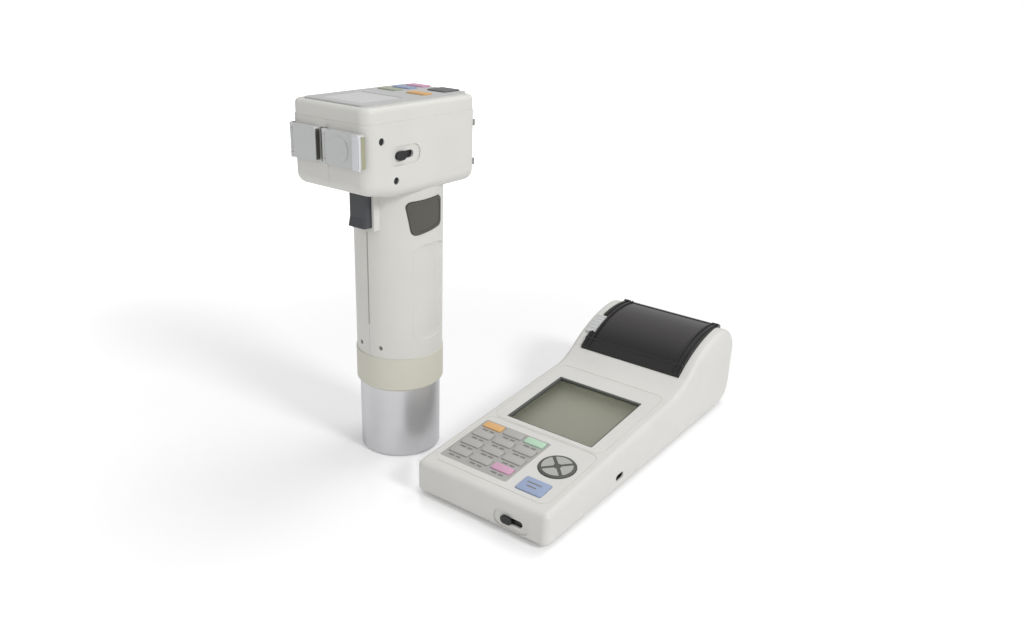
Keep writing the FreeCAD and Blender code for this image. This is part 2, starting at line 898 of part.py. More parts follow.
def slide_knob(front_gap):
    """Slide switch lying along X, with its wall from zero to the given depth along Y."""
    left = -switch_travel / 2
    wall = front_gap + switch_gap
    knob = slot_y(left, 0, switch_knob_length, switch_knob_width,
                  -switch_knob_proud - switch_gap, -switch_gap)
    stem = slot_y(left, 0, switch_knob_length - switch_gap * 4,
                  switch_slot_width - switch_gap * 2, -switch_gap, wall)
    plate_length = switch_slot_length + switch_travel + switch_gap * 2
    plate = slot_y(left, 0, plate_length, switch_slot_width + switch_plate * 2,
                   wall, wall + switch_plate)
    return knob.fuse([stem, plate]).removeSplitter()


def processor_switch():
    body = slide_knob(case_wall - switch_recess_depth)
    body.translate(V(switch_x, case_front_y + switch_recess_depth, switch_height))
    return body


tray_half = opening_half
tray_front_y = opening_front_y
hub_near = roll_width / 2 + hub_gap
hub_far = hub_near + hub_plate
tray_floor_top = tray_floor_height + tray_wall
under_cover = cover_skin + tray_cover_gap
gear_distance = gear_module * (platen_teeth + motor_teeth) / 2 + gear_mesh_gap
motor_y = platen_y + gear_distance * math.cos(math.radians(gear_drop_angle))
motor_height = platen_height - gear_distance * math.sin(math.radians(gear_drop_angle))


def below_cover(depth):
    """Room below the curved cover, used to trim what stands in the bay."""
    return rod_x(arc_radius - depth, -case_width, case_width, arc_centre.y, arc_centre.z)


def printer_chassis():
    """Tray of the printer bay with the roll forks and the platen bearings."""
    top = clear_height
    outer = block(-tray_half, tray_half, tray_front_y, bay_rear_y, tray_floor_height, top)
    body = outer.cut(block(-tray_half + tray_wall, tray_half - tray_wall,
                           tray_front_y + tray_wall, bay_rear_y - tray_wall,
                           tray_floor_top, top + over))
    body = body.common(below_cover(under_cover))
    body = body.cut(block(-tray_half + tray_wall, tray_half - tray_wall,
                          bay_rear_y - tray_wall - over, bay_rear_y + over,
                          tray_rear_height, top + over))
    adds = []
    for side in (-1, 1):
        low, high = sorted((side * hub_near, side * hub_far))
        adds.append(block(low, high, roll_y - hub_half_depth, roll_y + hub_half_depth,
                          tray_floor_height + tray_wall / 2, roll_height + hub_lip))
        adds.append(block(low, high, platen_y - platen_plate_front, platen_y + platen_plate_rear,
                          tray_floor_height + tray_wall / 2, platen_height + platen_plate_top))
    body = body.fuse(adds)
    sweep = hinge_sweep_gap + math.hypot(cover_rear_y - hinge_y,
                                         cover_rear_height + cover_rib_height - hinge_height)
    swept = block(-case_half, case_half, hinge_y, case_rear_y, hinge_height - sweep, top + over)
    swept = swept.cut(rod_x(hinge_ear_radius, -case_width, case_width, hinge_y, hinge_height))
    cuts = [swept, rod_x(hinge_pin_radius + hinge_pin_gap, -case_half, case_half,
                         hinge_y, hinge_height)]
    fork = journal_radius + journal_gap
    cuts.append(rod_x(fork, -hub_far - over, hub_far + over, roll_y, roll_height))
    cuts.append(block(-hub_far - over, hub_far + over, roll_y - fork, roll_y + fork,
                      roll_height, roll_height + hub_lip + over))
    cuts.append(rod_x(platen_shaft_radius + journal_gap, -hub_far - over, hub_far + over,
                      platen_y, platen_height))
    cuts.append(rod_x(motor_shaft_radius + journal_gap, 0, hub_far + over,
                      motor_y, motor_height))
    notch = block(-tray_half - over, -tray_half + tray_wall + over,
                  notch_near_y - lever_gap, notch_far_y + lever_gap, tray_floor_top, top + over)
    cuts.append(notch.cut(below_cover(lever_sink + lever_depth + lever_travel + lever_below)))
    return body.cut(cuts).removeSplitter()


head_bar_y1 = platen_y - platen_radius - head_bar_gap
head_bar_y0 = head_bar_y1 - head_bar_depth


def print_head():
    half = hub_near - head_bar_margin
    return block(-half, half, head_bar_y0, head_bar_y1, tray_floor_top, head_bar_top)


def tear_bar():
    """Thin toothed strip in front of the print head."""
    half = hub_near - head_bar_margin
    y0 = head_bar_y0 - tear_thickness
    top = head_bar_top + tear_lift
    points = [V(-half, y0, top - tear_height), V(-half, y0, top - tear_tooth_depth)]
    count = int(half * 2 / tear_tooth)
    pitch = half * 2 / count
    for index in range(count):
        points.append(V(-half + (index + 1 / 2) * pitch, y0, top))
        points.append(V(-half + (index + 1) * pitch, y0, top - tear_tooth_depth))
    points.append(V(half, y0, top - tear_height))
    return polygon(points).extrude(V(0, tear_thickness, 0))


def printer_motor():
    body = rod_x(motor_radius, hub_near - motor_length, hub_near, motor_y, motor_height)
    return body.cut(rod_x(motor_shaft_radius + journal_gap, hub_near - motor_bore_depth,
                          hub_near + over, motor_y, motor_height))


def gear(teeth, x0, x1, y, z, phase):
    """Small toothed wheel whose teeth are straight sided."""
    pitch_radius = gear_module * teeth / 2
    tip = pitch_radius + gear_module * tooth_height_share
    root = pitch_radius - gear_module * tooth_root_share
    step = full_turn / teeth
    points = []
    for index in range(teeth):
        middle = index * step + phase
        for radius, share in ((root, -tooth_base_share), (tip, -tooth_tip_share),
                              (tip, tooth_tip_share), (root, tooth_base_share)):
            angle = math.radians(middle + share * step / 2)
            points.append(V(x0, y + radius * math.cos(angle), z + radius * math.sin(angle)))
    return polygon(points).extrude(V(x1 - x0, 0, 0))


gear_near = hub_far + hub_gap
gear_far = gear_near + gear_width


def platen_roller():
    body = rod_x(platen_radius, -roll_width / 2, roll_width / 2, platen_y, platen_height)
    return body.cut(rod_x(platen_shaft_radius, -hub_far, hub_far, platen_y, platen_height))


def platen_gear():
    """Gear on the steel shaft that runs through the rubber roller."""
    shaft = rod_x(platen_shaft_radius, -hub_far, gear_far, platen_y, platen_height)
    wheel = gear(platen_teeth, gear_near, gear_far, platen_y, platen_height, -gear_drop_angle)
    return shaft.fuse(wheel).removeSplitter()


def motor_gear():
    shaft = rod_x(motor_shaft_radius, hub_near - motor_bore_depth + hub_gap, gear_far,
                  motor_y, motor_height)
    phase = half_turn - gear_drop_angle + half_turn / motor_teeth
    wheel = gear(motor_teeth, gear_near, gear_far, motor_y, motor_height, phase)
    return shaft.fuse(wheel).removeSplitter()


def paper_roll():
    body = rod_x(roll_radius, -roll_width / 2, roll_width / 2, roll_y, roll_height)
    return body.cut(rod_x(core_radius, -case_half, case_half, roll_y, roll_height))


def paper_spindle():
    body = rod_x(core_radius, -roll_width / 2, roll_width / 2, roll_y, roll_height)
    return body.fuse(rod_x(journal_radius, -hub_far, hub_far, roll_y, roll_height))


def notch_block(grow):
    return block(-cover_half - over, -cover_half + notch_depth + grow,
                 notch_near_y - grow, notch_far_y + grow, parting_height, case_width)


def cover_frame():
    """Dark frame of the cover with ridged sides, hinge arms and pivots."""
    body = bent_skin(-cover_half, cover_half, cover_front_y, cover_rear_y, 0, -cover_skin)
    opening_x = cover_half - cover_strip
    body = body.cut(bent_skin(-opening_x, opening_x, cover_front_y + cover_front_strip,
                              cover_rear_y - cover_rear_strip, over, -cover_skin - over))
    arm_outer = tray_half - tray_wall - hinge_arm_gap
    adds = []
    for side in (-1, 1):
        for inset in (cover_rib_inset, cover_strip - cover_rib_width / 2):
            x = side * (cover_half - inset)
            adds.append(bent_skin(x - cover_rib_width / 2, x + cover_rib_width / 2,
                                  cover_front_y, cover_rear_y, cover_rib_height,
                                  -cover_skin / 2))
        low, high = sorted((side * (arm_outer - hinge_arm_width), side * arm_outer))
        arm = block(low, high, hinge_y - hinge_boss_radius, hinge_y + hinge_boss_radius,
                    hinge_height, clear_height)
        adds.append(arm.common(below_cover(cover_skin / 2)))
        adds.append(rod_x(hinge_boss_radius, low, high, hinge_y, hinge_height))
        start, end = sorted((side * (arm_outer - hinge_arm_width), side * (tray_half - hinge_pin_gap)))
        adds.append(rod_x(hinge_pin_radius, start, end, hinge_y, hinge_height))
        tip = side * cover_half
        start, end = sorted((tip, tip - side * hinge_nub_length))
        adds.append(rod_x(hinge_nub_radius, start, end, hinge_nub_y,
                          cover_height(hinge_nub_y) + hinge_nub_lift))
    lip_y = cover_front_y + cover_front_strip
    adds.append(bent_skin(-cover_half, cover_half, lip_y - cover_rib_width, lip_y,
                          cover_rib_height, -cover_skin / 2))
    body = body.fuse(adds)
    return body.cut(notch_block(lever_gap)).removeSplitter()


def cover_window():
    """Smoked sheet that fills the frame, with a thin lap behind its edges."""
    half = cover_half - cover_strip
    y0 = cover_front_y + cover_front_strip
    y1 = cover_rear_y - cover_rear_strip
    body = bent_skin(-half, half, y0, y1, -cover_window_sink, -cover_skin)
    lap = cover_window_lap
    back = bent_skin(-half - lap, half + lap, y0 - lap, y1 + lap, -cover_skin,
                     -cover_skin - cover_window_sink)
    return body.fuse(back).removeSplitter()


def release_lever():
    """Ribbed catch in the notch at the left edge of the cover."""
    x1 = -cover_half + notch_depth - lever_gap
    x0 = x1 - lever_reach - notch_depth
    body = bent_skin(x0, x1, notch_near_y, notch_far_y, -lever_sink, -lever_sink - lever_depth)
    step = (notch_far_y - notch_near_y) / (lever_ribs + 1)
    for index in range(lever_ribs):
        y = notch_near_y + (index + 1) * step
        body = body.cut(bent_skin(x0 - over, x1 + over, y - step / 4, y + step / 4, over,
                                  -lever_sink - lever_rib_depth))
    return body


# The measuring head is drawn round its own upright axis and then set in its place.
def on_head(shape):
    placed = shape.copy()
    placed.translate(V(head_x, head_y, 0))
    return placed


def head_box(inset, top):
    """Box on top of the grip, its underside rising towards the connector end."""
    front = -head_front + inset
    back = head_back - inset
    half = head_half_width - inset
    points = [V(-half, front, head_floor_front + inset), V(-half, -head_rise_y, head_bottom + inset),
              V(-half, back, head_bottom + inset), V(-half, back, top), V(-half, front, top)]
    body = polygon(points).extrude(V(half * 2, 0, 0))
    bends = [e for e in edges_along(body, V(1, 0, 0)) if abs(e.CenterOfMass.y + head_rise_y) < over]
    body = body.makeFillet(head_floor_bend, bends)
    plan = rounded_block(-half, half, front, back, head_bottom - over, top + over,
                         head_corner_round - inset, V(0, 0, 1))
    body = body.common(plan)
    foot = [e for e in body.Edges if e.BoundBox.ZMax < head_floor_front + inset + over
            and (e.BoundBox.XLength < half or e.CenterOfMass.y < front + over
                 or e.CenterOfMass.y > back - over)]
    return body.makeFillet(head_foot_round - inset, foot)


def grip_scoop(side):
    """Shallow thumb hollow on one flank of the grip."""
    reach = grip_radius - scoop_depth
    centre_x = side * (reach - scoop_radius)
    core = rod_z(scoop_radius, scoop_bottom - over, scoop_top + over, centre_x, 0)
    low, high = sorted((side * (reach - over * 2), side * (grip_radius + over)))
    slab = rounded_block(low, high, -scoop_half_width, scoop_half_width,
                         scoop_bottom, scoop_top, scoop_end_round, V(1, 0, 0))
    return slab.cut(core)


PORTS = ((-port_left_far, -port_left_near), (-port_right_near, port_right_far))
port_back = -head_front - port_gap
port_axis_y = port_back - port_knuckle_radius


def port_ears(x0, reach):
    """Pair of small hinge ears in front of the end face, rooted in it by the given depth."""
    x = x0 + port_knuckle_radius
    ears = []
    for z0 in (port_bottom, port_bottom + port_height - port_ear_height):
        z1 = z0 + port_ear_height
        ear = rod_z(port_knuckle_radius, z0, z1, x, port_axis_y)
        ear = ear.fuse(block(x - port_knuckle_radius, x + port_knuckle_radius, port_axis_y,
                             -head_front + reach, z0, z1))
        ears.append(ear.cut(rod_z(port_pin_radius + port_pin_gap, z0 - over, z1 + over,
                                  x, port_axis_y)))
    return ears


head_cell_step = cell_length + cell_tip_length + cradle_floor
cradle_top = head_cell_bottom + head_cell_step * head_cell_rows


def head_shell(side):
    """One half of the clamshell: grip and head box on one side of the seam."""
    bore = grip_radius - grip_wall
    body = rod_z(grip_radius, collar_top, head_bottom + head_wall, 0, 0)
    frame_half = trigger_half_width + trigger_gap + frame_lip
    frame = rounded_block(-frame_half, frame_half, -frame_front, 0,
                          trigger_bottom - trigger_gap - frame_foot, head_bottom + head_wall,
                          trigger_round, V(0, 1, 0))
    body = body.fuse([frame, head_box(0, head_step)])
    body = body.cut([grip_scoop(-1), grip_scoop(1)])
    cavity = rod_z(bore, collar_top - over, head_bottom + head_wall + over, 0, 0)
    body = body.cut(cavity.fuse(head_box(head_wall, head_step + over)))
    cradle = block(-bore, bore, head_cell_y - cradle_back, head_cell_y,
                   head_cell_bottom - cradle_floor, cradle_top)
    cradle = cradle.common(rod_z(bore + grip_wall / 2, 0, head_top, 0, 0))
    reach = head_cell_x + cell_radius + cradle_gap + cradle_floor / 2
    for low, high in ((-bore * 2, -reach), (reach, bore * 2)):
        cradle = cradle.cut(block(low, high, -bore, bore, button_bottom - button_flange * 3,
                                  head_top))
    body = body.fuse(cradle)
    cuts = []
    for row in range(head_cell_rows):
        z0 = head_cell_bottom + row * head_cell_step - cradle_gap
        for way in (-1, 1):
            cuts.append(rod_z(cell_radius + cradle_gap, z0, z0 + head_cell_step - cradle_floor
                              + cradle_gap, way * head_cell_x, head_cell_y))
    pocket = trigger_half_width + trigger_gap
    cuts.append(block(-pocket, pocket, -trigger_front - trigger_foot_flare,
                      -trigger_back + trigger_travel + trigger_gap,
                      trigger_bottom - trigger_gap, head_bottom - trigger_top_gap / 2))
    ring = rod_z(grip_radius + over, cover_bottom - port_gap, cover_top + port_gap, 0, 0)
    inner = grip_radius - cover_thickness
    ring = ring.cut(rod_z(inner, 0, head_top, 0, 0))
    wide = cover_half_width + port_gap
    cuts.append(ring.common(block(-wide, wide, 0, grip_radius * 2, 0, head_top)))
    narrow = cover_half_width - bay_lip
    cuts.append(block(-narrow, narrow, head_cell_y, grip_radius * 2,
                      cover_bottom + bay_lip, cover_top - bay_lip))
    for x0, x1 in PORTS:
        cuts.append(block(x0 + port_hinge_step, x1 - port_pocket_end,
                          -head_front - over, -head_front + head_wall + over,
                          port_bottom + port_pocket_edge,
                          port_bottom + port_height - port_pocket_edge))
    skin = head_box(0, head_step).cut(head_box(finger_slot_depth, head_step + over))
    slot_x0 = -port_left_near + finger_slot_gap
    cuts.append(skin.common(block(slot_x0, -port_right_near - finger_slot_gap, -head_front - over,
                                  0, port_bottom, port_bottom + port_height)))
    for x in (-grip_screw_x, grip_screw_x):
        y = -math.sqrt(grip_radius ** 2 - x ** 2)
        cuts.append(rod_y(small_screw_radius, y - over, y + grip_wall * 2, x, grip_screw_height))
    face = head_half_width
    for y, z in ((-side_screw_front, side_screw_height), (-lower_screw_front, lower_screw_height)):
        cuts.append(rod_x(side_screw_radius, face - head_wall - over, face + over, y, z))
    recess = slot_x(-head_switch_front, head_switch_height, switch_recess_length,
                    switch_recess_width, face - switch_recess_depth, face + over)
    cuts.append(recess)
    cuts.append(slot_x(-head_switch_front, head_switch_height, switch_slot_length,
                       switch_slot_width, face - head_wall - over, face + over))
    cuts.append(button_form(button_gap, grip_radius / 2, grip_radius * 2))
    for x, y, z in bumper_places():
        cuts.append(bumper(x, y, z))
    body = body.cut(cuts)
    low, high = sorted((side * shell_seam / 2, side * head_half_width * 2))
    half = body.common(block(low, high, -head_front * 2, head_back * 2, 0, head_top))
    ears = port_ears(PORTS[0][0], head_wall) if side < 0 else port_ears(PORTS[1][0], 0)
    return half.fuse(ears).removeSplitter()


def button_form(grow, x0, x1):
    """Slanted pad outline on the right flank, run along X."""
    points = [V(x0, -button_near - grow, button_top + grow),
              V(x0, button_far + grow, button_top + button_far_top_rise + grow),
              V(x0, button_far + grow, button_bottom + button_far_foot_rise - grow),
              V(x0, -button_near + button_slant - grow, button_bottom - button_near_drop - grow)]
    body = polygon(points).extrude(V(x1 - x0, 0, 0))
    return body.makeFillet(button_round, edges_along(body, V(1, 0, 0)))


def side_button():
    """Grip pad that follows the round flank, held by a lip inside the wall."""
    outer = button_form(0, 0, grip_radius * 2)
    inner = grip_radius - button_depth
    skin = rod_z(grip_radius + button_proud, 0, head_top, 0, 0)
    skin = skin.cut(rod_z(inner, 0, head_top, 0, 0))
    body = outer.common(skin)
    rim = skin.cut(rod_z(grip_radius + button_proud - button_rim_depth, 0, head_top, 0, 0))
    body = body.cut(rim.common(button_form(-button_rim, 0, grip_radius * 2)))
    lip = rod_z(grip_radius - grip_wall - key_seat_gap, 0, head_top, 0, 0)
    lip = lip.cut(rod_z(inner - button_lip_depth, 0, head_top, 0, 0))
    return body.fuse(lip.common(button_form(button_flange, 0, grip_radius * 2))).removeSplitter()


def bumper_places():
    """Corner pads on the user end, as X, Y and height of their middles."""
    shift = head_corner_round * (1 - math.cos(math.pi / 4))
    return [(side * (head_half_width - shift), head_back - shift, z)
            for side in (-1, 1) for z in (bumper_lower, bumper_upper)]


def bumper(x, y, z):
    side = 1 if x > 0 else -1
    body = block(-bumper_width / 2, bumper_width / 2, -bumper_sink, bumper_proud,
                 -bumper_height / 2, bumper_height / 2)
    body = body.makeFillet(bumper_round, edges_along(body, V(0, 1, 0)))
    body.rotate(V(0, 0, 0), V(0, 0, 1), -side * quarter_turn / 2)
    body.translate(V(x, y, z))
    return body


def head_bumpers():
    return Part.makeCompound([bumper(x, y, z) for x, y, z in bumper_places()])


def head_top_cover():
    """Rim cover of the head, hollow, with posts for the circuit board."""
    half = head_half_width - head_cap_inset
    front = -head_front + head_cap_inset
    back = head_back - head_cap_inset
    body = rounded_block(-half, half, front, back, head_step, head_top,
                         head_corner_round - head_cap_inset, V(0, 0, 1))
    body = body.makeFillet(head_cap_round, [e for e in body.Edges
                                            if e.BoundBox.ZMin > head_top - seam_groove])
    wall = head_cap_wall
    roof = head_top - wall
    body = body.cut(rounded_block(-half + wall, half - wall, front + wall, back - wall,
                                  head_step - over, roof, head_corner_round - wall - head_cap_inset,
                                  V(0, 0, 1)))
    body = body.fuse([rod_z(head_post_radius, head_board_top, roof, x, y)
                      for x, y in head_post_places()])
    seat = head_top - (panel_thickness - panel_proud)
    cuts = [rounded_block(-panel_half_width, panel_half_width, -panel_front, panel_back,
                          seat, head_top + over, panel_corner_round, V(0, 0, 1))]
    for name, x, y, depth in HEAD_KEYS:
        cuts.append(head_key_block(x, y, depth, head_key_gap, head_step, head_top + over))
    return body.cut(cuts).removeSplitter()


head_board_top = head_top - head_cap_wall - head_board_drop
HEAD_KEYS = [("head_key_1", head_key_x, head_key_first_y, head_key_depth),
             ("head_key_2", -head_key_x, head_key_first_y, head_key_depth),
             ("head_key_3", -head_key_x, head_key_first_y + head_key_pitch, head_key_depth),
             ("head_key_4", -head_key_x, head_key_first_y + head_key_pitch * 2, head_key_depth),
             ("head_key_5", head_key_x, head_key_first_y + head_key_pitch * 7 / 4,
              large_key_depth)]


def head_post_places():
    x = head_half_width - head_corner_round
    return [(side * x, y) for side in (-1, 1)
            for y in (-head_front + head_corner_round, head_back - head_corner_round)]


def head_key_block(x, y, depth, grow, z0, z1):
    return rounded_block(x - head_key_width / 2 - grow, x + head_key_width / 2 + grow,
                         y - depth / 2 - grow, y + depth / 2 + grow, z0, z1,
                         head_key_round, V(0, 0, 1))


def head_key(x, y, depth):
    """Panel key with a lip under the cover at its left and right sides."""
    seat = head_top - head_cap_wall - key_seat_gap
    top = head_top + panel_proud + head_key_proud
    body = head_key_block(x, y, depth, 0, seat - head_key_flange, top)
    reach = head_key_width / 2 + head_key_flange
    lip = block(x - reach, x + reach, y - depth / 2 + head_key_round,
                y + depth / 2 - head_key_round, seat - head_key_flange, seat)
    return body.fuse(lip).removeSplitter()


def control_panel():
    """Grey panel on top of the head with its key and screen openings."""
    seat = head_top - (panel_thickness - panel_proud)
    body = rounded_block(-panel_half_width, panel_half_width, -panel_front, panel_back,
                         seat, seat + panel_thickness, panel_corner_round, V(0, 0, 1))
    cuts = [head_key_block(x, y, depth, head_key_gap, head_step, head_top + panel_thickness)
            for name, x, y, depth in HEAD_KEYS]
    cuts.append(block(-screen_half_width, screen_half_width, -screen_front, -screen_back,
                      seat - over, head_top + panel_thickness))
    return body.cut(cuts)


def head_display():
    seat = head_top - (panel_thickness - panel_proud)
    return block(-screen_half_width, screen_half_width, -screen_front, -screen_back,
                 seat, seat + panel_thickness - screen_sink)


def head_board():
    """Circuit board under the cover, and the two sockets in the end face."""
    half = head_half_width - head_cap_wall - head_cap_inset - head_board_margin
    board = block(-half, half, -head_front + head_cap_wall + head_cap_inset + head_board_margin,
                  head_back - head_cap_wall - head_cap_inset - head_board_margin,
                  head_board_top - head_board_thickness, head_board_top)
    parts = [board]
    z = port_bottom + port_height / 2
    for x0, x1 in PORTS:
        pocket = (x0 + port_hinge_step, x1 - port_pocket_end)
        x = sum(pocket) / 2
        back = -head_front + head_wall
        flange = block(pocket[0] - port_pocket_edge / 2, pocket[1] + port_pocket_edge / 2, back,
                       back + head_wall, port_bottom + port_pocket_edge / 2,
                       port_bottom + port_height - port_pocket_edge / 2)
        body = flange.fuse(rod_y(socket_radius, back - head_wall + port_gap,
                                 back + socket_length, x, z))
        bore = rod_y(socket_bore_radius, back - head_wall - over, back + socket_bore_depth, x, z)
        pin = rod_y(port_pin_radius, back - head_wall / 2, back + socket_length - over / 2, x, z)
        parts.append(body.cut(bore).fuse(pin).removeSplitter())
    return Part.makeCompound(parts)


def measuring_tube():
    body = rod_z(tube_radius, 0, tube_top + tube_socket_depth, 0, 0)
    foot = [e for e in body.Edges if abs(e.CenterOfMass.z) < over and e.BoundBox.ZLength < over]
    body = body.makeChamfer(tube_chamfer, foot)
    bore = tube_radius - tube_wall
    body = body.cut(rod_z(bore, -over, head_top, 0, 0))
    return body.cut(rod_z(bore + chamber_seat_step, chamber_bottom, head_top, 0, 0))


def tube_collar():
    body = rod_z(collar_radius, tube_top, collar_top, 0, 0)
    foot = [e for e in body.Edges if abs(e.CenterOfMass.z - tube_top) < seam_groove
            and e.BoundBox.ZLength < seam_groove]
    body = body.makeChamfer(collar_radius - tube_radius - seam_groove, foot)
    body = body.cut(rod_z(collar_radius - collar_wall, 0, head_top, 0, 0))
    return body.cut(rod_z(tube_radius, 0, tube_top + tube_socket_depth, 0, 0))


def light_chamber():
    """Cup on a step inside the tube, with a cone towards the lens throat."""
    outer = tube_radius - tube_wall + chamber_seat_step
    top = tube_top + tube_socket_depth
    body = rod_z(outer, chamber_bottom, top, 0, 0)
    cone = Part.makeCone(outer - chamber_wall, chamber_throat_radius,
                         top - lens_thickness - chamber_bottom, V(0, 0, chamber_bottom))
    body = body.cut(cone)
    return body.fuse(rod_z(lens_radius, top - lens_thickness, top + over, 0, 0)).removeSplitter()


def head_screws():
    screws = []
    for x in (-grip_screw_x, grip_screw_x):
        y = -math.sqrt(grip_radius ** 2 - x ** 2)
        screws.append(rod_y(small_screw_radius, y + small_screw_sink,
                            y + small_screw_length, x, grip_screw_height))
    face = head_half_width - side_screw_sink
    for y, z in ((-side_screw_front, side_screw_height), (-lower_screw_front, lower_screw_height)):
        screws.append(rod_x(side_screw_radius, face - side_screw_length, face, y, z))
    return Part.makeCompound(screws)


def head_batteries():
    cells = []
    for row in range(head_cell_rows):
        z0 = head_cell_bottom + row * head_cell_step
        for way in (-1, 1):
            x = way * head_cell_x
            low = V(x, head_cell_y, z0 + (cell_tip_length if way < 0 else 0))
            high = low.add(V(0, 0, cell_length))
            cells.append(cell(high, low) if way < 0 else cell(low, high))
    return Part.makeCompound(cells)


def trigger():
    top = head_bottom - trigger_top_gap
    knee = trigger_bottom + trigger_flare_height
    front = -trigger_front
    points = [V(-trigger_half_width, -trigger_back, top), V(-trigger_half_width, front, top),
              V(-trigger_half_width, front, knee),
              V(-trigger_half_width, front - trigger_foot_flare + trigger_round, trigger_bottom),
              V(-trigger_half_width, -trigger_back, trigger_bottom)]
    body = polygon(points).extrude(V(trigger_half_width * 2, 0, 0))
    front_edges = [e for e in body.Edges if e.BoundBox.XLength < over
                   and e.CenterOfMass.y < front + over and e.BoundBox.ZLength > over]
    return body.makeFillet(trigger_round, front_edges)


def head_switch():
    """Slide switch on the right face, its length along Y."""
    body = slide_knob(head_wall - switch_recess_depth)
    body.rotate(V(0, 0, 0), V(0, 0, 1), quarter_turn)
    body.translate(V(head_half_width - switch_recess_depth, -head_switch_front, head_switch_height))
    return body


def port_cover(x0, x1, with_lip):
    """Flap over one socket, swung on a short upright pin at its left edge."""
    x = x0 + port_knuckle_radius
    z0 = port_bottom
    z1 = port_bottom + port_height
    front = port_back - port_thickness
    plate_x = x + port_knuckle_radius + port_gap
    body = rounded_block(plate_x, x1, front, port_back, z0, z1, port_round, V(0, 1, 0))
    near = z0 + port_ear_height + port_gap
    far = z1 - port_ear_height - port_gap
    adds = [rod_z(port_knuckle_radius, near, far, x, port_axis_y)]
    adds.append(block(x, plate_x + port_round, port_axis_y - port_knuckle_radius / 2, port_back,
                      near, far))
    adds.append(rod_z(port_pin_radius, z0, z1, x, port_axis_y))
    if with_lip:
        adds.append(rounded_block(x1 - port_lip, x1, front - port_lip_proud, port_back, z0, z1,
                                  port_round, V(0, 1, 0)))
        adds.append(rod_y(port_disc_radius, front - port_disc_proud, front, port_disc_x,
                          z0 + port_height / 2))
    return body.fuse(adds).removeSplitter()


def head_battery_cover():
    """Curved cover let into the back of the grip."""
    ring = rod_z(grip_radius, cover_bottom, cover_top, 0, 0)
    ring = ring.cut(rod_z(grip_radius - cover_thickness, 0, head_top, 0, 0))
    return ring.common(block(-cover_half_width, cover_half_width, 0, grip_radius * 2,
                             cover_bottom, cover_top))


def build_parts():
    parts = {
        "lower_case": lower_case(), "upper_case": upper_case(), "keypad_plate": keypad_plate(),
        "display_window": display_window(), "display_module": display_module(),
        "main_board": main_board(), "printer_chassis": printer_chassis(),
        "print_head": Part.makeCompound([print_head(), tear_bar()]),
        "printer_motor": printer_motor(), "processor_sockets": processor_sockets(),
        "processor_batteries": processor_batteries(), "rubber_feet": rubber_feet(),
        "case_screws": case_screws(), "cover_frame": cover_frame(),
        "cover_window": cover_window(), "release_lever": release_lever(),
        "paper_roll": paper_roll(), "paper_spindle": paper_spindle(),
        "platen_roller": platen_roller(), "platen_gear": platen_gear(),
        "motor_gear": motor_gear(), "processor_switch": processor_switch(),
        "battery_door": battery_door(), "cursor_pad": cursor_pad(),
        "enter_key": press_key(enter_x, enter_y, enter_width, enter_depth),
    }
    for index, (x, y) in enumerate(key_places):
        parts["key_%d" % (index + 1)] = press_key(x, y, key_width, key_depth)
    head = {
        "head_left_shell": head_shell(-1), "head_right_shell": head_shell(1),
        "head_top_cover": head_top_cover(), "control_panel": control_panel(),
        "head_display": head_display(), "head_board": head_board(),
        "measuring_tube": measuring_tube(), "tube_collar": tube_collar(),
        "light_chamber": light_chamber(), "head_screws": head_screws(),
        "head_bumpers": head_bumpers(), "head_batteries": head_batteries(),
        "trigger": trigger(), "head_switch": head_switch(), "side_button": side_button(),
        "socket_cover_left": port_cover(*PORTS[0], False),
        "socket_cover_right": port_cover(PORTS[1][0], PORTS[1][1] + port_lip_reach, True),
        "head_battery_cover": head_battery_cover(),
    }
    for name, x, y, depth in HEAD_KEYS:
        head[name] = head_key(x, y, depth)
    parts.update({name: on_head(shape) for name, shape in head.items()})
    return parts


def main():
    os.makedirs("parts", exist_ok=True)
    parts = build_parts()
    boxes = [shape.optimalBoundingBox(True, False) for shape in parts.values()]
    shift = V(-(min(b.XMin for b in boxes) + max(b.XMax for b in boxes)) / 2,
              -(min(b.YMin for b in boxes) + max(b.YMax for b in boxes)) / 2,
              -min(b.ZMin for b in boxes))
    for name, shape in parts.items():
        shape.translate(shift)
        shape.exportStep("parts/%s.step" % name)
        state = "" if shape.isValid() else "NOT VALID"
        print(name, len(shape.Solids), round(shape.Volume, 1), state)
    print("shift", shift.x, shift.y, shift.z)


if __name__ == "__main__":
    main()
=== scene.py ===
"""Colorimeter set: measuring head and data processor, dressed for rendering.

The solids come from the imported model. Each class dresses one sub-assembly of the set, and adds the
pieces that carry its look. Sizes of pieces are in millimetres where they are multiplied by MM, and
all other lengths are in metres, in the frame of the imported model.
"""
import logging
import math
from dataclasses import dataclass, field
from enum import Enum
from typing import Iterable, Sequence

import bmesh
import bpy
from mathutils import Matrix, Vector


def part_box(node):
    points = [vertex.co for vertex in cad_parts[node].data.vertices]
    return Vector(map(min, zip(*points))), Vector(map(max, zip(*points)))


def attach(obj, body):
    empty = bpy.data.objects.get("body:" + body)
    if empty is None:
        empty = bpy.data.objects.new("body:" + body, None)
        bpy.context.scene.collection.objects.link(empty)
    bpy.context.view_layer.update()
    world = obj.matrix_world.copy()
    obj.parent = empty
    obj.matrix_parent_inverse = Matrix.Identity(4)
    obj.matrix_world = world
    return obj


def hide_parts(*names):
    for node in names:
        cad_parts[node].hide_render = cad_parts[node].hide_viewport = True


log = logging.getLogger("colorimeter")
MM = 0.001
PICTURE_WIDTH = 1024
WHITE = (1.0, 1.0, 1.0, 1.0)
MOTTLE_SIZE = 0.035
MOTTLE_DETAIL = 2.0
GRAIN_DETAIL = 3.0
GRAIN_STRENGTH = 0.6
LEAST_ROUGHNESS = 0.03
TURNED_STRETCH = (0.02, 0.02, 1.0)
UPRIGHT_SHARE = 0.9
CORNER_SEGMENTS = 6
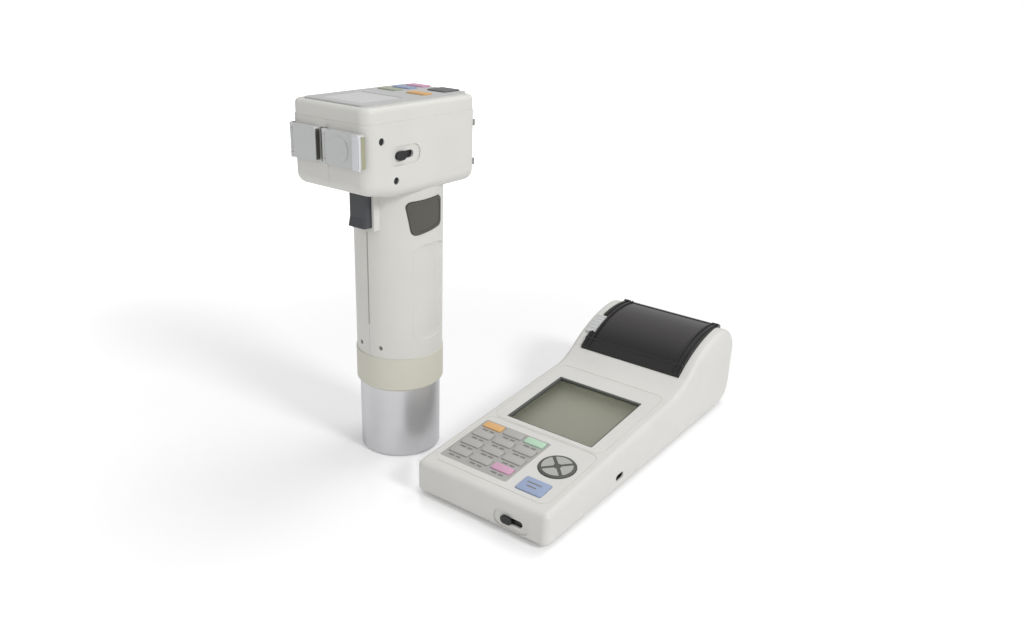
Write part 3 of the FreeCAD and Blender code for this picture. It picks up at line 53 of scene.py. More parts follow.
BLOCK_EDGE_ANGLE = 0.6
ROD_EDGE_ANGLE = 0.8
SCREEN_TOP = 255.0
SCREEN_TOE = 0.04045
SCREEN_TOE_SLOPE = 12.92
SCREEN_SHIFT = 0.055
SCREEN_POWER = 2.4


class Texture(Enum):
    """Surface grain of a finish."""

    MOULDED = "moulded"
    TURNED = "turned"


@dataclass(frozen=True)
class Finish:
    """Procedural finish of a solid, opaque material.

    Args:
        name: Name of the material.
        colour: Base colour as linear red, green and blue.
        shade: Second colour that slow mottling mixes in.
        roughness: Mean roughness.
        spread: How far roughness strays from the mean.
        grain: Size of the surface grain in metres.
        bump: Depth of the surface grain in metres.
        metallic: One for bare metal.
        coat: Weight of a clear coat.
        texture: Kind of grain.
    """

    name: str
    colour: tuple[float, float, float]
    shade: tuple[float, float, float]
    roughness: float = 0.45
    spread: float = 0.06
    grain: float = 0.0006
    bump: float = 0.00002
    metallic: float = 0.0
    coat: float = 0.0
    texture: Texture = Texture.MOULDED

    def build(self) -> bpy.types.Material:
        """Build the node material once.

        Returns:
            The material.
        """
        found = bpy.data.materials.get(self.name)
        if found:
            return found
        material = bpy.data.materials.new(self.name)
        material.use_nodes = True
        tree = material.node_tree
        shader = tree.nodes["Principled BSDF"]
        shader.inputs["Metallic"].default_value = self.metallic
        shader.inputs["Coat Weight"].default_value = self.coat
        place = tree.nodes.new("ShaderNodeTexCoord")
        mapping = tree.nodes.new("ShaderNodeMapping")
        tree.links.new(place.outputs["Object"], mapping.inputs["Vector"])
        if self.texture is Texture.TURNED:
            mapping.inputs["Scale"].default_value = TURNED_STRETCH
        slow = self.noise(tree, mapping, 1.0 / MOTTLE_SIZE, MOTTLE_DETAIL)
        mix = tree.nodes.new("ShaderNodeMix")
        mix.data_type = "RGBA"
        mix.inputs["A"].default_value = (*self.colour, 1.0)
        mix.inputs["B"].default_value = (*self.shade, 1.0)
        tree.links.new(slow.outputs["Fac"], mix.inputs["Factor"])
        tree.links.new(mix.outputs["Result"], shader.inputs["Base Color"])
        fine = self.noise(tree, mapping, 1.0 / self.grain, GRAIN_DETAIL)
        rough = tree.nodes.new("ShaderNodeMapRange")
        lowest = max(self.roughness - self.spread, LEAST_ROUGHNESS)
        rough.inputs["To Min"].default_value = lowest
        rough.inputs["To Max"].default_value = min(self.roughness + self.spread, 1.0)
        tree.links.new(fine.outputs["Fac"], rough.inputs["Value"])
        tree.links.new(rough.outputs["Result"], shader.inputs["Roughness"])
        if self.bump > 0:
            raised = tree.nodes.new("ShaderNodeBump")
            raised.inputs["Distance"].default_value = self.bump
            raised.inputs["Strength"].default_value = GRAIN_STRENGTH
            tree.links.new(fine.outputs["Fac"], raised.inputs["Height"])
            tree.links.new(raised.outputs["Normal"], shader.inputs["Normal"])
        return material

    @staticmethod
    def noise(tree: bpy.types.NodeTree, place: bpy.types.Node, scale: float,
              detail: float) -> bpy.types.Node:
        """Add a noise pattern on the piece's own coordinates.

        Args:
            tree: Node tree that takes it.
            place: Node that gives the coordinates.
            scale: Repeats per metre.
            detail: Octaves of the noise.

        Returns:
            The noise node.
        """
        node = tree.nodes.new("ShaderNodeTexNoise")
        node.inputs["Scale"].default_value = scale
        node.inputs["Detail"].default_value = detail
        tree.links.new(place.outputs["Vector"], node.inputs["Vector"])
        return node


@dataclass(frozen=True)
class ClearFinish(Finish):
    """Thin clear or smoked sheet that light passes through.

    Args:
        alpha: Share of the light that the sheet stops.
        rise: Heights in metres between which the colour blends to the second shade, a painted
            reflection that lightens the sheet towards the top.
    """

    alpha: float = 0.3
    rise: tuple[float, float] | None = None

    def build(self) -> bpy.types.Material:
        """Build the base finish, then thin it.

        Returns:
            The material.
        """
        found = bpy.data.materials.get(self.name)
        if found:
            return found
        material = super().build()
        shader = material.node_tree.nodes["Principled BSDF"]
        shader.inputs["Alpha"].default_value = self.alpha
        # Lighter towards the top of the piece: painted reflection.
        if self.rise:
            self.paint_sheen(material.node_tree, shader)
        return material

    def paint_sheen(self, tree: bpy.types.NodeTree, shader: bpy.types.Node) -> None:
        """Paint a reflection: blend from the colour to the lighter second shade between two heights
        of the piece.

        Args:
            tree: Node tree of the material.
            shader: Its main shader.
        """
        place = tree.nodes.new("ShaderNodeTexCoord")
        split = tree.nodes.new("ShaderNodeSeparateXYZ")
        level = tree.nodes.new("ShaderNodeMapRange")
        level.interpolation_type = "SMOOTHSTEP"
        level.inputs["From Min"].default_value = self.rise[0]
        level.inputs["From Max"].default_value = self.rise[1]
        mix = shader.inputs["Base Color"].links[0].from_node
        tree.links.new(place.outputs["Object"], split.inputs[0])
        tree.links.new(split.outputs["Z"], level.inputs["Value"])
        tree.links.new(level.outputs["Result"], mix.inputs["Factor"])


def linear_level(value: float) -> float:
    """Turn one level of a screen colour into a linear one.

    Args:
        value: Level from 0 to 255.

    Returns:
        Level from 0 to 1.
    """
    share = value / SCREEN_TOP
    if share <= SCREEN_TOE:
        return share / SCREEN_TOE_SLOPE
    return ((share + SCREEN_SHIFT) / (1.0 + SCREEN_SHIFT)) ** SCREEN_POWER


def linear(red: float, green: float, blue: float) -> tuple[float, float, float]:
    """Turn a screen colour from 0 to 255 into a linear one from 0 to 1."""
    return linear_level(red), linear_level(green), linear_level(blue)


def close_shades(red: float, green: float, blue: float,
                 share: float = 0.96) -> tuple[tuple[float, float, float],
                                               tuple[float, float, float]]:
    """Return a linear colour and a darker one, whose share of brightness is given."""
    return linear(red, green, blue), linear(red * share, green * share, blue * share)


def plastic(name: str, rgb: tuple[float, float, float], rough: float = 0.42,
            **more: object) -> Finish:
    """Return a moulded plastic finish from a screen colour and any more of its fields."""
    colour, shade = close_shades(*rgb)
    return Finish(name, colour, shade, rough, **more)


class Finishes:
    """All finishes of the set."""

    CASE = plastic("case_plastic", (219, 218, 214), 0.42, grain=0.0005, bump=0.000012)
    HEAD = plastic("head_plastic", (220, 219, 214), 0.42, grain=0.0005, bump=0.000012)
    COLLAR = plastic("collar_plastic", (213, 211, 197), 0.5)
    GROUND = plastic("keypad_ground", (172, 171, 168), 0.55, grain=0.0003)
    INK = plastic("label_ink", (124, 123, 121), 0.6, bump=0.0)
    KEY = plastic("key_rubber", (180, 179, 176), 0.55)
    KEY_ORANGE = plastic("orange_rubber", (224, 178, 120), 0.55)
    KEY_GREEN = plastic("green_rubber", (186, 217, 192), 0.55)
    KEY_PINK = plastic("pink_rubber", (212, 166, 192), 0.55)
    KEY_BLUE = plastic("blue_rubber", (156, 170, 200), 0.55)
    KEY_DARK = plastic("dark_rubber", (108, 109, 110), 0.55)
    KEY_OLIVE = plastic("olive_rubber", (172, 178, 160), 0.55)
    PAD = plastic("pad_rubber", (176, 176, 172), 0.5)
    PAD_LINE = plastic("pad_line", (86, 86, 84), 0.55, bump=0.0)
    LCD = plastic("display_film", (214, 214, 198), 0.3, spread=0.03, grain=0.0002, bump=0.0,
                  coat=0.25)
    # Dark gasket round the display; its wider left and far sides are painted shade of the recess.
    GASKET_AND_SHADE = plastic("display_gasket_and_shade", (84, 86, 82), 0.6)
    BOARD = plastic("circuit_board", (36, 92, 56), 0.4, coat=0.3)
    TRAY = plastic("printer_tray", (52, 52, 54), 0.55)
    FRAME = plastic("cover_frame_plastic", (36, 35, 35), 0.26, grain=0.0004)
    BLACK = plastic("matt_black", (28, 28, 30), 0.38)
    BUMPER = plastic("bumper_rubber", (150, 150, 146), 0.6)
    FOOT = plastic("foot_rubber", (40, 40, 41), 0.75)
    CELL = plastic("cell_sleeve", (66, 78, 104), 0.3, bump=0.0, coat=0.4)
    GEAR = plastic("gear_plastic", (214, 213, 204), 0.4)
    FLAP = plastic("flap_plastic", (206, 207, 207), 0.5)
    # Lighter copy of the flap's grey: painted light on the lip's lit face.
    FLAP_LIP_LIGHT = plastic("flap_lip_painted_light", (224, 225, 229), 0.42)
    PANEL = plastic("panel_plastic", (196, 197, 196), 0.5, grain=0.0003)
    SCREEN = plastic("head_screen", (213, 214, 213), 0.35, spread=0.01, grain=0.004,
                     bump=0.0)
    TRIGGER = plastic("trigger_plastic", (70, 72, 76), 0.34)
    GRIP_PAD = plastic("grip_pad_rubber", (88, 87, 81), 0.6)
    GRIP_SCREW = plastic("grip_screw", (118, 118, 112), 0.45)
    # Grey-olive painted shade along the groove of the grip's front seam.
    SEAM_SHADE = plastic("seam_shade", (160, 160, 150), 0.6, bump=0.0)
    # Olive painted shade on the right flap's end face.
    RECESS_SHADE = plastic("recess_shade", (166, 165, 140), 0.6, bump=0.0)
    # Dark grey-green painted shade for the gap between the flaps and the left flap's end.
    SLOT_SHADE = plastic("flap_slot_shade", (92, 92, 86), 0.55, bump=0.0)
    PAPER = plastic("thermal_paper", (240, 240, 236), 0.7, grain=0.0002)
    ALUMINIUM = Finish("turned_aluminium", linear(222, 222, 224), linear(206, 206, 209), 0.34,
                       spread=0.08, grain=0.0004, bump=0.000004, metallic=1.0,
                       texture=Texture.TURNED)
    STEEL = Finish("plated_steel", linear(176, 177, 180), linear(160, 161, 165), 0.3,
                   spread=0.05, grain=0.0005, bump=0.000004, metallic=1.0)
    # The smoked sheet turns lighter towards the top of the cover: painted reflection.
    SMOKED = ClearFinish("smoked_sheet", linear(16, 15, 15), linear(58, 55, 56), 0.16,
                         spread=0.02, grain=0.004, bump=0.0, coat=0.3, alpha=0.95,
                         rise=(0.050, 0.066))
    CLEAR = ClearFinish("clear_window", linear(176, 178, 160), linear(168, 170, 152), 0.08,
                        spread=0.02, grain=0.004, bump=0.0, alpha=0.12)


def node_box(name: str) -> tuple[Vector, Vector]:
    """Return the lowest and highest corner of a solid as vectors."""
    low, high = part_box(name)
    return Vector(low), Vector(high)


def finish_piece(piece: bpy.types.Object, finish: Finish, smooth_angle: float = 35.0) -> None:
    """Give a piece its finish and smooth shading below an edge angle.

    Args:
        piece: The mesh object.
        finish: Its finish.
        smooth_angle: Edges sharper than this many degrees stay crisp.
    """
    piece.data.materials.clear()
    piece.data.materials.append(finish.build())
    piece.data.polygons.foreach_set("use_smooth", [True] * len(piece.data.polygons))
    piece.data.set_sharp_from_angle(angle=math.radians(smooth_angle))


def ordered_mesh(name: str, shape: bmesh.types.BMesh) -> bpy.types.Mesh:
    """Turn a shape into a mesh whose corners and faces have the same order in each run.

    Rounding an edge leaves new faces in an order that changes from run to run.

    Args:
        name: Name of the mesh.
        shape: The shape. It is freed here.

    Returns:
        The mesh.
    """
    verts = sorted(shape.verts, key=lambda vert: tuple(vert.co))
    rank = {vert: index for index, vert in enumerate(verts)}
    faces = []
    for face in shape.faces:
        ring = [rank[vert] for vert in face.verts]
        start = ring.index(min(ring))
        faces.append(ring[start:] + ring[:start])
    mesh = bpy.data.meshes.new(name)
    mesh.from_pydata([tuple(vert.co) for vert in verts], [], sorted(faces))
    shape.free()
    return mesh


def add_piece(name: str, shape: bmesh.types.BMesh, finish: Finish, body: str,
              stands_for: Sequence[str] = ()) -> bpy.types.Object:
    """Turn a finished shape into a piece of the set.

    Args:
        name: Name of the piece.
        shape: Its mesh, in place. It is freed here.
        finish: Its finish.
        body: Body that it rides on.
        stands_for: Solids that it replaces.

    Returns:
        The new object.
    """
    bmesh.ops.recalc_face_normals(shape, faces=shape.faces)
    mesh = ordered_mesh(name, shape)
    piece = bpy.data.objects.new(name, mesh)
    bpy.context.scene.collection.objects.link(piece)
    finish_piece(piece, finish)
    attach(piece, body)
    if stands_for:
        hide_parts(*stands_for)
    log.info("piece %s on %s, %d faces", name, body, len(mesh.polygons))
    return piece


def round_edges(shape: bmesh.types.BMesh, verts: Sequence[bmesh.types.BMVert],
                edges: Iterable[bmesh.types.BMEdge], radius: float,
                segments: int) -> list[bmesh.types.BMVert]:
    """Round some edges of a form.

    Args:
        shape: Mesh that holds it.
        verts: Its vertices.
        edges: The edges to round.
        radius: Radius of the rounding.
        segments: Facets of the rounding.

    Returns:
        The vertices of the rounded form.
    """
    grown = bmesh.ops.bevel(shape, geom=list(edges), offset=radius, segments=segments,
                            profile=0.5, affect="EDGES", material=-1, clamp_overlap=True)
    return list(dict.fromkeys(v for v in [*verts, *grown["verts"]] if v.is_valid))


def sharp_edges(verts: Iterable[bmesh.types.BMVert], angle: float) -> list[bmesh.types.BMEdge]:
    """Return the edges whose two faces meet at more than an angle in radians."""
    edges = dict.fromkeys(e for v in verts for e in v.link_edges)
    return [e for e in edges if len(e.link_faces) == 2 and e.calc_face_angle(0.0) > angle]


def add_block(shape: bmesh.types.BMesh, low: Vector, high: Vector, bevel: float = 0.0,
              segments: int = 3, upright_only: float = 0.0) -> list[bmesh.types.BMVert]:
    """Add a block with rounded edges to a shape.

    Args:
        shape: Mesh that takes it.
        low: Lowest corner.
        high: Highest corner.
        bevel: Radius of all edges.
        segments: Facets of each rounding.
        upright_only: Radius of the four upright edges, rounded first.

    Returns:
        The vertices of the block.
    """
    size = high - low
    place = Matrix.Translation((low + high) / 2) @ Matrix.Diagonal((*size, 1.0))
    verts = list(bmesh.ops.create_cube(shape, size=1.0, matrix=place)["verts"])
    if upright_only > 0:
        tall = size.z * UPRIGHT_SHARE
        edges = dict.fromkeys(e for v in verts for e in v.link_edges
                              if abs(e.verts[0].co.z - e.verts[1].co.z) > tall)
        verts = round_edges(shape, verts, edges, upright_only, CORNER_SEGMENTS)
    if bevel > 0:
        verts = round_edges(shape, verts, sharp_edges(verts, BLOCK_EDGE_ANGLE), bevel, segments)
    return verts


def add_rod(shape: bmesh.types.BMesh, radius: float, start: Vector, end: Vector,
            facets: int = 48, bevel: float = 0.0,
            segments: int = 3) -> list[bmesh.types.BMVert]:
    """Add a round rod between two points.

    Args:
        shape: Mesh that takes it.
        radius: Its radius.
        start: First end.
        end: Second end.
        facets: Sides of the circle.
        bevel: Radius of its end edges.
        segments: Facets of that rounding.

    Returns:
        The vertices of the rod.
    """
    axis = end - start
    turn = axis.to_track_quat("Z", "Y").to_matrix().to_4x4()
    place = Matrix.Translation((start + end) / 2) @ turn
    verts = bmesh.ops.create_cone(shape, cap_ends=True, segments=facets, radius1=radius,
                                  radius2=radius, depth=axis.length, matrix=place)["verts"]
    if bevel > 0:
        return round_edges(shape, verts, sharp_edges(verts, ROD_EDGE_ANGLE), bevel, segments)
    return list(verts)


def add_prism(shape: bmesh.types.BMesh, outline: Sequence[tuple[float, float]], low: float,
              high: float) -> list[bmesh.types.BMVert]:
    """Add an upright prism over a flat outline.

    Args:
        shape: Mesh that takes it.
        outline: Corners as X and Y, in order.
        low: Height of its foot.
        high: Height of its top.

    Returns:
        The vertices of the prism.
    """
    feet = [shape.verts.new((x, y, low)) for x, y in outline]
    tops = [shape.verts.new((x, y, high)) for x, y in outline]
    shape.faces.new(feet)
    shape.faces.new(tops)
    for index, foot in enumerate(feet):
        after = (index + 1) % len(feet)
        shape.faces.new((foot, feet[after], tops[after], tops[index]))
    return [*feet, *tops]


def bench_centre(node: str) -> Vector:
    """Return the spot on the bench under the middle of a solid."""
    low, high = node_box(node)
    return Vector(((low.x + high.x) / 2, (low.y + high.y) / 2, 0.0))


def dress_solids(finishes: dict[str, Finish]) -> None:
    """Give each named solid its finish.

    Args:
        finishes: Finish of each solid, by the solid's name.
    """
    for node, finish in finishes.items():
        finish_piece(FRAME["nodes"][node], finish)
        log.info("solid %s in %s", node, finish.name)


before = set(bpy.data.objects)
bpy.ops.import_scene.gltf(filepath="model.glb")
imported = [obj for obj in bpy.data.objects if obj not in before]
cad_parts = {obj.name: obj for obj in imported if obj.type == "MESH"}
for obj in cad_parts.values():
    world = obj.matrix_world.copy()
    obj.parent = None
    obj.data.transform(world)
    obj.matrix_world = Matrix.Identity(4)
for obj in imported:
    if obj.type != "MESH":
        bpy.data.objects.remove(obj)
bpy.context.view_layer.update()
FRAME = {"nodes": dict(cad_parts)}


@dataclass
class Deck:
    """Sloped top of the processor, on which the keys and the display lie.

    Args:
        slope_share: Rise of the deck for each length along it.
        front_height: Height of its near edge in metres.
        case_length: Length of the case in metres.
        centre: Spot on the bench under the middle of the case.
    """

    slope_share: float = 0.08
    front_height: float = 24.0 * MM
    case_length: float = 255.0 * MM
    centre: Vector = field(default_factory=lambda: bench_centre("lower_case"))

    @property
    def angle(self) -> float:
        """Slope of the deck in radians."""
        return math.atan(self.slope_share)

    def matrix(self, x: float, y: float) -> Matrix:
        """Return the place of a flat shape that lies on the deck.

        Args:
            x: Middle across the case in millimetres.
            y: Middle along the case in millimetres.

        Returns:
            The transform from the origin to that place.
        """
        rise = self.front_height + self.slope_share * (y * MM + self.case_length / 2)
        spot = self.centre + Vector((x * MM, y * MM, rise))
        return Matrix.Translation(spot) @ Matrix.Rotation(self.angle, 4, "X")

    def lay(self, shape: bmesh.types.BMesh, verts: Iterable[bmesh.types.BMVert],
            x: float, y: float) -> None:
        """Move vertices drawn round the origin to their place on the deck."""
        bmesh.ops.transform(shape, matrix=self.matrix(x, y), verts=list(verts))


@dataclass
class Keypad:
    """Keys, their printed ground and the marks under them.

    Sizes are in millimetres, places count from the middle of the case, and levels from the deck.

    Args:
        deck: Sloped top that it lies on.
        first: Middle of the far left key.
        pitch: Steps between the middles of keys, across and along.
        key: Width and depth of a key.
        proud: Level of the tops of all caps.
        columns: Keys in each row.
        rows: Rows of keys.
        key_foot: Level of a cap's underside.
        key_round: Rounding of its edges.
        key_corner: Rounding of its upright corners.
        enter: Middle, width and depth of the enter key.
        mark_drop: Distance of the printed bars from the middle of their key.
        mark_bars: Shift across and length of each bar.
        mark_half: Half of a bar's width.
        mark_foot: Level of its underside.
        mark_proud: How far all bars stand out of what they are printed on.
        enter_bars: Shift along and length of each bar on the enter key.
        enter_bar_shift: Shift of those bars across the key.
        enter_bar_half: Half of such a bar's width.
        enter_bar_foot: Level of its underside.
    """

    deck: Deck
    first: tuple[float, float] = (-33.2, -69.2)
    pitch: tuple[float, float] = (16.7, 11.6)
    key: tuple[float, float] = (14.6, 6.6)
    proud: float = 0.9
    columns: int = 3
    rows: int = 4
    key_foot: float = -3.0
    key_round: float = 0.45
    key_corner: float = 1.2
    enter: tuple[float, float, float, float] = (26.4, -108.1, 18.3, 13.6)
    mark_drop: float = 5.9
    mark_bars: tuple[tuple[float, float], ...] = ((-2.6, 4.4), (2.7, 3.6))
    mark_half: float = 0.75
    mark_foot: float = -0.1
    mark_proud: float = 0.03
    enter_bars: tuple[tuple[float, float], ...] = ((1.9, 10.5), (-1.7, 7.0))
    enter_bar_shift: float = -0.6
    enter_bar_half: float = 0.55
    enter_bar_foot: float = -0.05

    def build(self) -> None:
        """Build all key caps and marks."""
        special = {1: (Finishes.KEY_ORANGE, "key_orange"), 3: (Finishes.KEY_GREEN, "key_green"),
                   12: (Finishes.KEY_PINK, "key_pink")}
        for index, (x, y) in enumerate(self.places(), 1):
            finish, slot = special.get(index, (Finishes.KEY, "key_grey"))
            self.cap("key_%d" % index, x, y, *self.key, finish, slot)
        x, y, width, depth = self.enter
        self.cap("enter_key", x, y, width, depth, Finishes.KEY_BLUE, "key_blue")
        self.marks()
        dress_solids({"keypad_plate": Finishes.GROUND})

    def places(self) -> list[tuple[float, float]]:
        """Return the middle of each key of the block, row by row."""
        return [(self.first[0] + column * self.pitch[0], self.first[1] - row * self.pitch[1])
                for row in range(self.rows) for column in range(self.columns)]

    def cap(self, node: str, x: float, y: float, width: float, depth: float, finish: Finish,
            slot: str) -> None:
        """Build one rubber key cap.

        Args:
            node: Solid that it replaces, and its body.
            x: Middle across the case in millimetres.
            y: Middle along the case in millimetres.
            width: Size across.
            depth: Size along.
            finish: Its finish.
            slot: Not used.
        """
        shape = bmesh.new()
        low = Vector((-width / 2, -depth / 2, self.key_foot)) * MM
        high = Vector((width / 2, depth / 2, self.proud)) * MM
        verts = add_block(shape, low, high, self.key_round * MM,
                          upright_only=self.key_corner * MM)
        self.deck.lay(shape, verts, x, y)
        add_piece(node + "_cap", shape, finish, node, (node,))

    def marks(self) -> None:
        """Add the plain printed bars below each key, and one on the enter key."""
        shape = bmesh.new()
        for x, y in self.places():
            for shift, length in self.mark_bars:
                verts = add_block(
                    shape, Vector((-length / 2, -self.mark_half, self.mark_foot)) * MM,
                    Vector((length / 2, self.mark_half, self.mark_proud)) * MM)
                self.deck.lay(shape, verts, x + shift, y - self.mark_drop)
        add_piece("keypad_marks", shape, Finishes.INK, "processor")
        shape = bmesh.new()
        x, y, _, _ = self.enter
        for shift, length in self.enter_bars:
            verts = add_block(
                shape, Vector((-length / 2, -self.enter_bar_half, self.enter_bar_foot)) * MM,
                Vector((length / 2, self.enter_bar_half, self.proud + self.mark_proud)) * MM)
            self.deck.lay(shape, verts, x + self.enter_bar_shift, y + shift)
        add_piece("enter_key_marks", shape, Finishes.INK, "enter_key")


@dataclass
class CursorPad:
    """Round four-way pad: a dark disc with four paler quadrants.

    Sizes are in millimetres, places count from the middle of the case, and levels from the deck.

    Args:
        deck: Sloped top that it lies on.
        place: Its middle.
        radius: Radius of the disc.
        proud: Level of the quadrants' tops.
        rim: Width of the dark ring outside the quadrants.
        line: Width of the dark lines between them.
        hub: Radius of the dark hub.
        foot: Level of the disc's underside.
        sunk: How far the disc stays below the quadrants.
        edge_round: Rounding of the disc's edges.
        facets: Sides of the disc.
    """

    deck: Deck
    place: tuple[float, float] = (26.6, -83.0)
    radius: float = 12.0
    proud: float = 1.0
    rim: float = 1.9
    line: float = 2.3
    hub: float = 2.7
    foot: float = -2.2
    sunk: float = 0.15
    edge_round: float = 0.5
    facets: int = 72

    def build(self) -> None:
        """Build the dark disc and the four paler quadrants that lie on it."""
        shape = bmesh.new()
        verts = add_rod(shape, self.radius * MM, Vector((0, 0, self.foot)) * MM,
                        Vector((0, 0, self.proud - self.sunk)) * MM, self.facets,
                        self.edge_round * MM)
        self.deck.lay(shape, verts, *self.place)
        add_piece("cursor_disc", shape, Finishes.PAD_LINE, "cursor_pad",
                  ("cursor_pad",))
        shape = bmesh.new()
        for turn in range(4):
            verts = add_prism(shape, self.quadrant(), 0.0, self.proud * MM)
            spin = Matrix.Rotation(math.radians(turn * 90.0), 3, "Z")
            bmesh.ops.rotate(shape, cent=(0, 0, 0), verts=verts, matrix=spin)
            self.deck.lay(shape, verts, *self.place)
        add_piece("cursor_quadrants", shape, Finishes.PAD, "cursor_pad")

    def quadrant(self, steps: int = 10) -> list[tuple[float, float]]:
        """Return the outline of the quadrant round the Y axis.

        Args:
            steps: Facets of each of its two arcs.

        Returns:
            Its corners in metres.
        """
        points = []
        for radius, way in ((self.radius - self.rim, 1), (self.hub, -1)):
            reach = math.radians(45.0) - math.asin(self.line / 2 / radius)
            for index in range(steps + 1):
                turn = way * (1 - 2 * index / steps) * reach
                points.append((radius * math.sin(turn) * MM, radius * math.cos(turn) * MM))
        return points


@dataclass
class DisplayWindow:
    """Liquid crystal display sunk in the deck under a clear sheet.

    Sizes are in millimetres, places count from the middle of the case, and levels from the deck.

    Args:
        deck: Sloped top that it is sunk in.
        left: Left side of the window.
        right: Right side of the window.
        near: Near side of the window.
        far: Far side of the window.
        depth: Depth of the gasket's underside.
        top: Level of the gasket's top.
        edge_round: Rounding of its edges.
        wall: Width of the gasket on the left and far sides, where the extra width is painted shade
            of the recess. The other two have half of it.
    """

    deck: Deck
    left: float = -35.0
    right: float = 32.5
    near: float = -52.6
    far: float = 13.6
    depth: float = 2.15
    top: float = -0.25
    edge_round: float = 0.15
    wall: float = 1.8

    def build(self) -> None:
        """Build the dark gasket round the window, with painted shade on its left and far sides, and
        dress the display.
        """
        shape = bmesh.new()
        mid_x = (self.left + self.right) / 2
        mid_y = (self.near + self.far) / 2
        half_x = (self.right - self.left) / 2
        half_y = (self.far - self.near) / 2 / math.cos(self.deck.angle)
        # The left and far sides are twice as wide as the others: painted shade of the recess walls.
        sides = ((-half_x, -half_x + self.wall, -half_y, half_y),
                 (half_x - self.wall / 2, half_x, -half_y, half_y),
                 (-half_x, half_x, half_y - self.wall, half_y),
                 (-half_x, half_x, -half_y, -half_y + self.wall / 2))
        for x0, x1, y0, y1 in sides:
            verts = add_block(shape, Vector((x0, y0, -self.depth)) * MM,
                              Vector((x1, y1, self.top)) * MM, self.edge_round * MM, 2)
            self.deck.lay(shape, verts, mid_x, mid_y)
        add_piece("display_gasket_and_shade", shape, Finishes.GASKET_AND_SHADE, "processor")
        dress_solids({"display_window": Finishes.CLEAR, "display_module": Finishes.LCD})


@dataclass
class Processor:
    """Case, printer and small fittings of the data processor."""

    def build(self) -> None:
        """Dress every solid of the processor."""
        dress_solids({
            "upper_case": Finishes.CASE, "lower_case": Finishes.CASE,
            "battery_door": Finishes.CASE, "main_board": Finishes.BOARD,
            "printer_chassis": Finishes.TRAY, "print_head": Finishes.STEEL,
            "printer_motor": Finishes.STEEL, "processor_sockets": Finishes.BLACK,
            "processor_batteries": Finishes.CELL, "rubber_feet": Finishes.FOOT,
            "case_screws": Finishes.STEEL, "cover_frame": Finishes.FRAME,
            "cover_window": Finishes.SMOKED, "release_lever": Finishes.FLAP,
            "paper_roll": Finishes.PAPER, "paper_spindle": Finishes.BLACK,
            "platen_roller": Finishes.FOOT, "platen_gear": Finishes.GEAR,
            "motor_gear": Finishes.GEAR, "processor_switch": Finishes.BLACK,
        })


